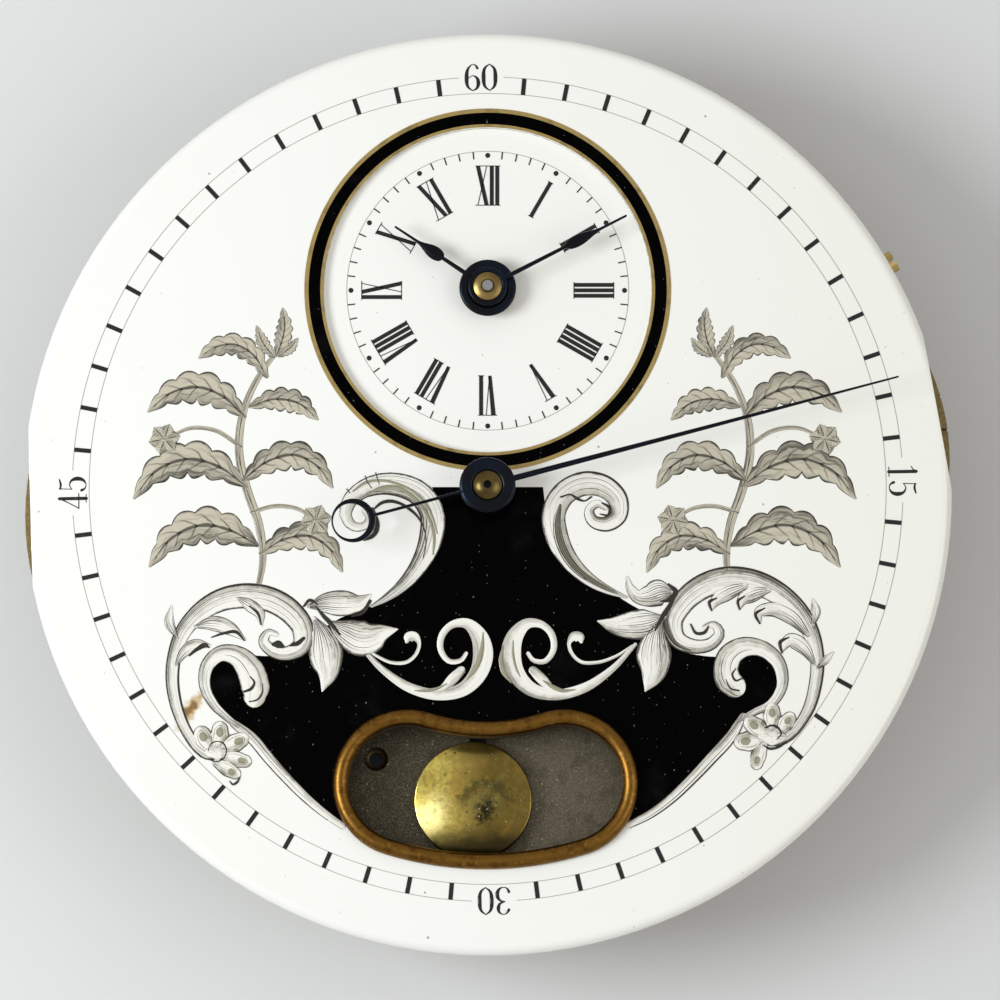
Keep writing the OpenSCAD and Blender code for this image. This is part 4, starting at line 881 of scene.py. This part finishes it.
class WATCH_OT_hour_ring(bpy.types.Operator):
    """Black ring round the small dial, with a gold line on each side"""

    bl_idname = "watch.hour_ring"
    bl_label = "Hour ring"

    def execute(self, context):
        s, overlap, gold_film, inner_share = print_sizes(context), 0.01, 1.2, 0.72
        black, gilding = Shell(), Shell()
        black.turned(SMALL_AT, band(s.ring_inner, s.ring_outer, DIAL_PRINT, s.film))
        black.make("hour_ring", "black")
        for r0, r1 in ((s.ring_inner - inner_share * s.gilding, s.ring_inner + overlap),
                       (s.ring_outer - overlap, s.ring_outer + s.gilding)):
            gilding.turned(SMALL_AT, band(r0, r1, DIAL_PRINT, s.film * gold_film))
        gilding.make("hour_ring_gilding", "gold")
        return {"FINISHED"}


class WATCH_OT_hour_chapter(bpy.types.Operator):
    """Ticks, dots and numerals of the small dial"""

    bl_idname = "watch.hour_chapter"
    bl_label = "Hour chapter"

    def execute(self, context):
        s, tick_half, dot_r = print_sizes(context), 0.032, 0.13
        r, film, base, fine = s.chapter_radius, s.film, SMALL_PRINT, s.hairline / 2
        minutes = np.array([m for m in range(60) if m % 5]) * 6.0
        half = np.full((len(minutes), 2), tick_half)
        circle, chapter, numerals = Shell(), Shell(), Shell()
        circle.turned(SMALL_AT, band(r - fine, r + fine, base, film * HAIR_FILM))
        circle.make("hour_circle", "hair")
        ends = [spread(minutes, reach) + SMALL_AT for reach in (r - s.tick, r)]
        chapter.bars(np.hstack([*ends, half]), base, film)
        top = base + film
        dot = [(0, top), (dot_r - 0.03, top), (dot_r, base + 0.6 * film), (dot_r, base), (0, base)]
        for at in spread(np.arange(12) * 30.0, r - s.tick * 0.55) + SMALL_AT:
            chapter.turned(at, dot, n=20)
        chapter.make("hour_chapter", "ink")
        for hour, text in enumerate("XII I II III IIII V VI VII VIII IX X XI".split()):
            numerals.bars(self.numeral(text, s, hour * 30.0), base, film)
        numerals.make("hour_numerals", "ink")
        return {"FINISHED"}

    def numeral(self, text, s, degrees):
        """Thick and thin bars of one numeral, each letter with its own width, foot to the centre."""
        height, thick, thin, serif, inset = s.numeral_height, 0.1, 0.02, 0.15, 0.12
        wide = {"I": 0.275, "V": 0.66, "X": 0.68}
        x, bars = -sum(wide[letter] for letter in text) / 2, []
        for letter in text:
            end = x + wide[letter]
            left, right, mid = x + inset, end - inset, (x + end) / 2
            if letter == "I":
                bars.append((mid, 0, mid, height, thick, thick))
                bars += [(mid - serif, y, mid + serif, y, thin, thin) for y in (0, height)]
            elif letter == "V":
                bars.append((left + 0.06, height, mid + 0.03, 0, thick * 1.15, thick * 0.85))
                bars.append((right, height, mid + 0.05, 0, thin, thin))
                bars.append((x, height, end, height, thin, thin))
            else:
                bars.append((left, height, right, 0, thick, thick))
                bars.append((right, height, left, 0, thin, thin))
                bars += [(x, y, end, y, thin, thin) for y in (0, height)]
            x = end
        bars = np.array(bars)
        for k in (0, 2):
            bars[:, k:k + 2] = turned_text(bars[:, k:k + 2], degrees, s.numeral_foot) + SMALL_AT
        return bars


WINDOW_R, WINDOW_HALF = 13.4, 17.0  # radius of the window's middle line and half its angle in degrees
WINDOW_CLEAR = 2.9  # half width inside the bezel
BEZEL_WIDE, BEZEL_SIDE = 0.8, 0.15  # its width and the height of its straight side
WINDOW_X = WINDOW_AT[0]
WINDOW_Y = BEZEL_LOW[1] + WINDOW_R + WINDOW_CLEAR + BEZEL_WIDE


def window_line(half, n):
    """Outline of the kidney window at a half width, n points for each of its five arcs, from the middle of
    the upper side leftwards: arcs about one centre joined by half circles. The middle is at x = 0."""
    h = math.radians(WINDOW_HALF)
    q = np.linspace(0, 1, n, endpoint=False)
    down = -math.pi / 2
    upper, lower = WINDOW_R - half, WINDOW_R + half
    left, right = (WINDOW_R * np.array([math.cos(down + s * h), math.sin(down + s * h)]) for s in (-1, 1))
    arcs = [(np.zeros(2), upper, down - q * h), (left, half, math.pi / 2 - h + q * math.pi),
            (np.zeros(2), lower, down - h + q * 2 * h), (right, half, down + h + q * math.pi),
            (np.zeros(2), upper, down + h - q * h)]
    line = [c + r * np.stack([np.cos(a), np.sin(a)], -1) for c, r, a in arcs]
    return np.concatenate(line) + (0, WINDOW_Y)


class WATCH_OT_cartouche(bpy.types.Operator):
    """Black ground between the scrolls, down to the window"""

    bl_idname = "watch.cartouche"
    bl_label = "Cartouche"

    def execute(self, context):
        film, overlap, lifts = print_sizes(context).film * 0.6, 0.04, {"left": 0.002, "right": 0.0}
        ground, across, down, n = Shell(), 15, 121, 60  # points across and down a half, and on each arc
        q = np.linspace(0, 1, down)
        # the ruled lines turn at these shares of the way and points of the edge, so that none cross
        breaks, edge_breaks = (0, 0.45, 0.62, 1), (0, 58, 82, down - 1)
        end_of_window = n + n * 139 // 180  # the border stops 139 degrees round the window's end
        for side, sign in (("left", -1), ("right", 1)):
            edge = drawn(CARTOUCHE_EDGE[side], down)[:, :2]
            # the inner line: straight down to the window, then round its end to where the border stops
            window = window_line(WINDOW_CLEAR + BEZEL_WIDE / 2, n)[:2 * n] * (-sign, 1) + (WINDOW_X, 0)
            top = np.array([WINDOW_X, edge[0, 1]])
            shaft = top + (window[0] - top) * np.linspace(0, 1, n)[:, None] - (sign * overlap, 0)
            inner = np.concatenate([shaft, window[1:end_of_window]])
            a = sample(edge, np.interp(q, breaks, edge_breaks))[:, None]
            b = sample(inner, np.interp(q, breaks, (0, n - 1, 2 * n - 1, len(inner) - 1)))[:, None]
            t = np.linspace(0, 1, across)[:, None]
            flat = np.concatenate([a * (1 - t) + b * t, b, a], 1)
            z = np.r_[np.full(across, DIAL_PRINT + film + lifts[side]), DIAL_PRINT, DIAL_PRINT]
            heights = np.broadcast_to(z[:, None], (*flat.shape[:2], 1))
            ground.tubes(np.concatenate([flat, heights], -1)[None])
        ground.make("cartouche_ground", "black")
        return {"FINISHED"}


class WATCH_OT_scrolls(bpy.types.Operator):
    """Painted scrolls, leaves and flowers round the cartouche"""

    bl_idname = "watch.scrolls"
    bl_label = "Scrolls"

    def execute(self, context):
        base, film = DIAL_PAINT, print_sizes(context).film
        pen = film * 1.12  # height of a pen line
        step = 0.0006  # how much higher each leaf lies than the one before
        leaf, shadow, shadow_line, petal, tint, touch = (  # heights of what lies over the courses
            base + lift for lift in (0.012, 0.0125, 0.015, 0.02, 0.022, 0.03))
        scrolls, lines, pale, tones, cups, deep = (Shell() for _ in range(6))
        for k, (course, pens) in enumerate(SCROLLS):
            path, low = drawn(course, 110), base + 2 * step * k
            scrolls.stroke(path, low, film, tone=tone_of(k))
            for place in rows(pens):
                lines.stroke(beside(path, *place), low, pen, steps=5)
        for k, text in enumerate(LEAVES):
            path, low = drawn(text, 40), leaf + step * k
            scrolls.stroke(path, low, film, tone=tone_of(k))
            for j, across in enumerate(np.linspace(-0.7, 0.7, 5 if abs(path[:, 2]).max() < 0.5 else 9)):
                vary = (k * 0.618 + j * 0.382) % 1
                rib = beside(path, across, 0.02, 0.38 + 0.4 * vary, 0.014 + 0.012 * vary)
                rib[:, 2] *= np.linspace(1.9, 0.4, len(rib))
                lines.stroke(rib, low, pen, steps=5)
        shadows = [drawn(text, 60) for text in SHADOWS]
        for path in shadows:
            for j, across in enumerate(np.linspace(-0.8, 0.8, 6)):
                line = beside(path, across, 0.02 + 0.05 * (j % 3), 0.97 - 0.07 * j, 0.034 - 0.004 * j, 50)
                lines.stroke(line, shadow_line, film, steps=5)
        for k, text in enumerate(PETALS):
            path, low, knob = drawn(text, 24), petal + step * k, k % 6 == 5
            deep.stroke(path + (0, 0, 0.03), low - film, film)
            scrolls.stroke(path[::-1] * (1, 1, -1), low, film)
            if not knob:
                deep.stroke(path[2:15] * (1, 1, 0.68), low + film * 0.74, film * 0.3)
                cups.stroke(path[2:16] * (1, 1, 0.62), low + film * 0.92, film * 0.3, tone=tone_of(k))
                tones.stroke(path[2:6] * (1, 1, 0.44), low + film * 1.14, film * 0.1, tone=tone_of(k))
        paint_strokes(lines, [drawn(text, 24) for text in ACCENTS], touch, film)
        right = [drawn(text, 80) for text in PALE_SCROLLS]
        left = [mirrored(path, PALE_MIRROR) for path in right]
        left[1] = drawn(PALE_LEFT_CURL, 80)
        paint_strokes(pale, right + left, base, film, LIFT)
        paint_strokes(tones, [drawn(text, 40) for text in TONES], tint, film)
        paint_strokes(deep, [path * (1, 1, 0.85) for path in shadows], shadow, film)
        for shell, name, look in ((scrolls, "painted_scrolls", "scroll"), (lines, "scroll_lines", "line"),
                                  (pale, "pale_scrolls", "pale"), (tones, "scroll_tones", "tone"),
                                  (cups, "petal_cups", "cup"), (deep, "scroll_shadows", "deep")):
            shell.make(name, look)
        return {"FINISHED"}


class WATCH_OT_sprays(bpy.types.Operator):
    """Tall leafy sprays that stand on the scrolls at both sides"""

    bl_idname = "watch.sprays"
    bl_label = "Sprays"

    def execute(self, context):
        film, sprays = print_sizes(context).film, Shell()
        paths = [drawn(text, 40) for text in SPRAY_STEMS]
        paths += [lobed(drawn(text, 130), 6, 0.3) for text in SPRAY_LEAVES]
        for flower in on_dial(SPRAY_FLOWERS):
            paths += petals(*flower)
        for side in (paths, [mirrored(path, SPRAY_MIRROR) for path in paths]):
            paint_strokes(sprays, side, DIAL_PAINT, film, LIFT)
        sprays.make("painted_sprays", "spray")
        return {"FINISHED"}


class WATCH_OT_bezel(bpy.types.Operator):
    """Half-round copper bezel of the window"""

    bl_idname = "watch.bezel"
    bl_label = "Bezel"

    def execute(self, context):
        half, low, lip = BEZEL_WIDE / 2, BEZEL_LOW[2], -0.16
        a = np.linspace(0, math.pi, 17)
        arch = np.stack([half * np.cos(a), DIAL_FACE + BEZEL_SIDE + half * np.sin(a)], -1)
        profile = np.concatenate([[(half, DIAL_FACE)], arch, [(-half, low), (lip, low), (lip, DIAL_FACE)]])
        lines = [window_line(WINDOW_CLEAR + half + out, 60) + (WINDOW_X, 0) for out, z in profile]
        rings = np.stack([np.c_[line, np.full(len(line), z)] for line, (out, z) in zip(lines, profile)], 1)
        bezel = Shell()
        bezel.tubes(rings[None], loop=True)
        piece = bezel.make("bezel_round", "copper", "frame", "copper_bezel", 50)
        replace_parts(piece, "window_bezel")
        return {"FINISHED"}


class WATCH_OT_bob(bpy.types.Operator):
    """Polished disc of the mock pendulum, slightly domed, with a rounded rim"""

    bl_idname = "watch.bob"
    bl_label = "Pendulum bob"

    def execute(self, context):
        r, low, high = (BOB_HIGH[0] - BOB_LOW[0]) / 2, BOB_LOW[2], BOB_HIGH[2]
        rim, crown, edge = 0.1, 0.22, 0.05
        a = np.linspace(math.pi / 2, 0, 9)
        face = np.linspace(0, r - rim, 12)
        profile = np.concatenate([
            np.stack([face, high - crown * (face / (r - rim)) ** 2], -1),
            np.stack([r - rim + rim * np.cos(a), high - crown - rim + rim * np.sin(a)], -1)[1:],
            [(r, low + edge), (r - edge, low), (0, low)]])
        bob = Shell()
        bob.turned(BOB_AT, profile, n=128)
        piece = bob.make("pendulum_bob", "bob", "balance", "polished_brass", 50)
        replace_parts(piece, "pendulum_disc")
        return {"FINISHED"}


class WATCH_OT_hands(bpy.types.Operator):
    """Hands with rounded edges, and the domed bushes that carry them"""

    bl_idname = "watch.hands"
    bl_label = "Hands"

    def execute(self, context):
        self.hand("hour_hand", "hour_hand", SMALL_AT, degrees=146.3, length=5.6, ends=(0.14, 0.055),
                  swell=(3.2, 1.1, 0.25), hub=(0.91, 1.43))
        self.hand("minute_hand", "minute_hand", SMALL_AT, degrees=27.3, length=7.85, ends=(0.13, 0.06),
                  swell=(5.05, 1.4, 0.22), hub=(0.71, 0.98))
        self.hand("seconds_hand", "seconds", np.zeros(2), degrees=14.9, length=21.2, ends=(0.16, 0.05),
                  swell=(0, 1, 0), hub=(0.71, 1.4), tail=(6.9, 1.1, 0.88, 0.13))
        # the bushes take brass painted darker: painted dark reflection
        self.bush("minute_hand_bush", "minute_hand", "dark_reflection", SMALL_AT, (0.35, 0.7, 0.1),
                  "0.7,0.3 0.85,0.3 0.85,0.36 0.43,0.36 0.43,0.07 0.27,0.07")
        self.bush("seconds_hand_bush", "seconds", "darker_reflection", np.zeros(2), (0.2, 0.7, 0.2),
                  "0.7,0.41 0.95,0.41 0.95,0.7 0.7,0.7 0.7,0.9 0.36,0.9 0.36,0.49 0.2,0.49")
        return {"FINISHED"}

    def hand(self, node, body, centre, degrees, length, ends, swell, hub, tail=None):
        """A blade that tapers between two half-widths and swells at one place: a quarter ellipse on the
        hub's side and a squared cosine on the tip's. swell is where, how long and how wide; hub is two
        radii. A tail carries a ring with an eccentric hole: its distance, two radii and the hole's shift."""
        low, high = (c.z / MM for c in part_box(node))
        turn = math.radians(degrees)
        along = np.array([math.cos(turn), math.sin(turn)])
        x = np.linspace(sum(hub) / 2, length - ends[1], 90)
        off = (x - swell[0]) / swell[1]
        shape = np.where(off < 0, np.sqrt(np.clip(1 - (off / 0.45) ** 2, 0, 1)),
                         np.cos(np.clip(off, 0, 1) * math.pi / 2) ** 2)
        half = ends[0] + (ends[1] - ends[0]) * x / length + swell[2] * shape
        made = Shell()
        made.stroke(np.c_[centre + np.outer(x, along), half], low, high - low, 13)
        made.collar((*centre, hub[0]), (*centre, hub[1]), low, high)
        if tail:
            far, outer, inner, shift = tail
            x = np.linspace(-sum(hub) / 2, outer - far - 0.1, 20)
            made.stroke(np.c_[np.outer(x, along), 0.08 + 0 * x], low, high - low, 13)
            made.collar((*(-far - shift) * along, inner), (*-far * along, outer), low, high)
        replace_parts(made.make(node + "_round", "blue", body, "blued_steel", 60), node)

    def bush(self, node, body, look, centre, dome, below):
        """A turned bush: from the hole's edge at dome[0] to dome[1] its top falls by dome[2] with the
        square of the way; below it follow rows of radius and depth under the top."""
        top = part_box(node)[1].z / MM
        r = np.linspace(dome[0], dome[1], 12)
        profile = np.c_[r, top - dome[2] * ((r - dome[0]) / (dome[1] - dome[0])) ** 2]
        made = Shell()
        made.turned(centre, np.concatenate([profile, rows(below) * (1, -1) + (0, top)]), n=96)
        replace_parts(made.make(node + "_domed", look, body, "brass", 40), node)


class WATCH_OT_springs(bpy.types.Operator):
    """Balance spring and mainspring, strips wound into flat spirals"""

    bl_idname = "watch.springs"
    bl_label = "Springs"

    def execute(self, context):
        # balance spring: radius at the stud, pitch of the coils, thickness and radius of the collet
        pinned, pitch, thick, collet = 4.6, 0.56, 0.12, 0.85
        turns = (pinned - collet - thick / 2) / pitch
        stud = (-7.4, -7.8)  # from the balance staff
        aim = math.atan2(stud[1], stud[0])
        low, high = (c.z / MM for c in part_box("balance_spring"))
        # turns from the stud to the ends of the swinging strip and the pinned one, which is set in
        swinging, still, inset = 619 / 360, 715 / 360, 0.012
        for name, body, back, thin in (("balance_spiral", "balance", (turns, swinging), 0.0),
                                       ("balance_spring_end", "frame", (still, 0.0), inset)):
            t = np.linspace(*back, 720)
            piece = self.wind(name, body, "blued_steel", "blue", JOINT_AT["balance_swing"],
                              pinned - t * pitch, aim - t * 2 * math.pi,
                              thick - 2 * thin, low + thin, high - thin)
            if body == "balance":
                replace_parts(piece, "balance_spring")
        # mainspring: radius of the arbor, pitch of the coils, thickness and inner radius of the drum
        core, pitch, thick, wall = 1.5, 0.6, 0.14, 5.7
        turns = (wall - thick - core - thick) / pitch
        t = np.linspace(0, turns, 720)
        low, high = (c.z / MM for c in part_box("mainspring"))
        piece = self.wind("mainspring_coil", "barrel", "steel", "steel", JOINT_AT["barrel_turn"],
                          core + thick + t * pitch, t * 2 * math.pi, thick, low, high)
        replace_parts(piece, "mainspring")
        return {"FINISHED"}

    def wind(self, name, body, slot, look, centre, r, a, thick, low, high):
        """A strip with rounded edges: eight points of its section go along the spiral r(a)."""
        e, half = 0.3 * thick, thick / 2
        section = np.array([(half, low + e), (half, high - e), (half - e, high), (e - half, high),
                            (-half, high - e), (-half, low + e), (e - half, low), (half - e, low)])
        reach = r[:, None] + section[None, :, 0]
        rings = np.stack([centre[0] + reach * np.cos(a)[:, None], centre[1] + reach * np.sin(a)[:, None],
                          section[None, :, 1] + 0 * reach], -1)
        strip = Shell()
        strip.tubes(rings[None])
        return strip.make(name, look, body, slot, 50)


DRESS = {
    "white": ["dial", "small_dial"],
    "gilt": ["main_plate", "dial_ring", "barrel_bridge", "train_bridge", "seconds_bridge", "escape_bridge",
             "balance_cock", "counterpoise"],
    "copper": ["dial_feet", "window_bezel"],
    "brass": ["dial_foot_screws", "seconds_bush", "barrel_drum", "barrel_cover", "minute_wheel",
              "third_wheel", "seconds_wheel", "seconds_hand_bush", "balance_wheel", "spring_collet",
              "minute_hand_bush", "motion_wheel", "hour_wheel"],
    "bob": ["pendulum_disc"],
    "steel": ["case_screws", "endstone_plate", "spring_stud", "regulator", "click", "motion_stud",
              "mainspring", "barrel_arbor", "ratchet_wheel", "minute_pinion", "third_pinion",
              "escape_wheel", "escape_pinion", "balance_staff", "cylinder", "set_arbor", "set_square",
              "cannon_pinion", "motion_pinion"],
    "blue": ["steady_pins", "pendulum_arm", "seconds_pinion", "bridge_screws", "low_bridge_screws",
             "click_screw", "click_spring", "click_spring_screw", "balance_spring",
             "seconds_hand", "minute_hand", "hour_hand"],
    "ruby": ["plate_jewel", "cock_jewel", "endstone"],
}


class WATCH_OT_dress(bpy.types.Operator):
    """Gives every part of the movement its finish"""

    bl_idname = "watch.dress"
    bl_label = "Dress the movement"

    def execute(self, context):
        dressed = [node for nodes in DRESS.values() for node in nodes]
        missing = set(frame["nodes"]) - set(dressed)
        if missing:
            raise RuntimeError(f"no finish for {sorted(missing)}")
        for look, nodes in DRESS.items():
            for node in nodes:
                slots = frame["nodes"][node].data.materials
                slots.clear()
                slots.append(finish(look))
        return {"FINISHED"}


VIEW_AT = (0.62, -0.5, DIAL_FACE)  # what the camera aims at


class WATCH_OT_stage(bpy.types.Operator):
    """Floor, lamps, sky and camera"""

    bl_idname = "watch.stage"
    bl_label = "Stage"

    def execute(self, context):
        scene, s = context.scene, context.scene.watch_stage
        scene.view_settings.view_transform = "Standard"
        self.floor(CAD_BOX[0].z / MM, s)
        self.lamp("key_lamp", (-150, -14, 165), 105, s.key, (0.92, 0.97, 1.0))
        self.lamp("fill_lamp", (300, -60, 330), 300, s.fill)
        self.lamp("glint_lamp", (-108, -18, 400), 80, s.glint)
        world = bpy.data.worlds.new("studio")
        world.use_nodes = True
        sky = world.node_tree.nodes["Background"]
        sky.inputs["Color"].default_value = (1, 0.985, 0.95, 1)
        sky.inputs["Strength"].default_value = s.sky
        scene.world = world
        self.camera(scene, s)
        return {"FINISHED"}

    def floor(self, z, s):
        """A flat grid, far larger than the view."""
        n, reach, gap = 21, 600.0, 0.005
        g = np.linspace(-reach, reach, n)
        points = np.stack([*np.meshgrid(g, g), np.full((n, n), z - gap)], -1).reshape(-1, 3) * MM
        i = np.arange(n * n).reshape(n, n)
        faces = np.stack([i[:-1, :-1], i[:-1, 1:], i[1:, 1:], i[1:, :-1]], -1).reshape(-1, 4)
        mesh = bpy.data.meshes.new("floor")
        mesh.from_pydata(points, [], faces.tolist())
        f = Finish("floor_paper", s.floor)
        f.coat("fibre", f.noise(0.15, 4.0) * 0.15, scaled(s.floor, 0.9))
        mesh.materials.append(f.done(Roughness=0.6))
        floor = bpy.data.objects.new("floor", mesh)
        bpy.context.scene.collection.objects.link(floor)

    def lamp(self, name, at, size, power, colour=(1.0, 1.0, 1.0)):
        light = bpy.data.lights.new(name, "AREA")
        light.shape, light.size, light.energy, light.color = "DISK", size * MM, power, colour
        lamp = bpy.data.objects.new(name, light)
        lamp.location = [v * MM for v in at]
        lamp.rotation_euler = (-lamp.location).to_track_quat("-Z", "Y").to_euler()
        bpy.context.scene.collection.objects.link(lamp)

    def camera(self, scene, s):
        data = bpy.data.cameras.new("camera")
        camera = bpy.data.objects.new("camera", data)
        aim = np.array(VIEW_AT) * MM
        tilt = math.pi / 2 - s.elevation
        camera.location = aim + s.distance * np.array([0, -math.sin(tilt), math.cos(tilt)])
        camera.rotation_euler = (tilt, 0, 0)
        data.sensor_width = 36.0
        data.lens = data.sensor_width * s.distance / s.view_width
        data.clip_start, data.clip_end = 0.01, 10
        scene.collection.objects.link(camera)
        scene.camera = camera


class WATCH_PT_panel(bpy.types.Panel):
    """Everything that dresses the movement"""

    bl_idname = "WATCH_PT_panel"
    bl_label = "Watch movement"
    bl_space_type = "VIEW_3D"
    bl_region_type = "UI"
    bl_category = "Watch"

    def draw(self, context):
        for step in STEPS:
            self.layout.operator(step.bl_idname)
        for group in (context.scene.watch_sizes, context.scene.watch_colours, context.scene.watch_stage):
            box = self.layout.box()
            for key in group.__annotations__:
                box.prop(group, key)


GROUPS = {"watch_sizes": WatchPrintSizes, "watch_colours": WatchColours, "watch_stage": WatchStage}
STEPS = (WATCH_OT_stage, WATCH_OT_dress, WATCH_OT_minute_track, WATCH_OT_hour_ring, WATCH_OT_hour_chapter,
         WATCH_OT_cartouche, WATCH_OT_scrolls, WATCH_OT_sprays, WATCH_OT_bezel, WATCH_OT_bob,
         WATCH_OT_hands, WATCH_OT_springs)


def register():
    for made in (*GROUPS.values(), *STEPS, WATCH_PT_panel):
        bpy.utils.register_class(made)
    for name, group in GROUPS.items():
        setattr(bpy.types.Scene, name, bpy.props.PointerProperty(type=group))


def unregister():
    for name in GROUPS:
        delattr(bpy.types.Scene, name)
    for made in reversed((*GROUPS.values(), *STEPS, WATCH_PT_panel)):
        bpy.utils.unregister_class(made)


def main():
    register()
    for step in STEPS:
        area, name = step.bl_idname.split(".")
        getattr(getattr(bpy.ops, area), name)()


if __name__ == "__main__":
    main()
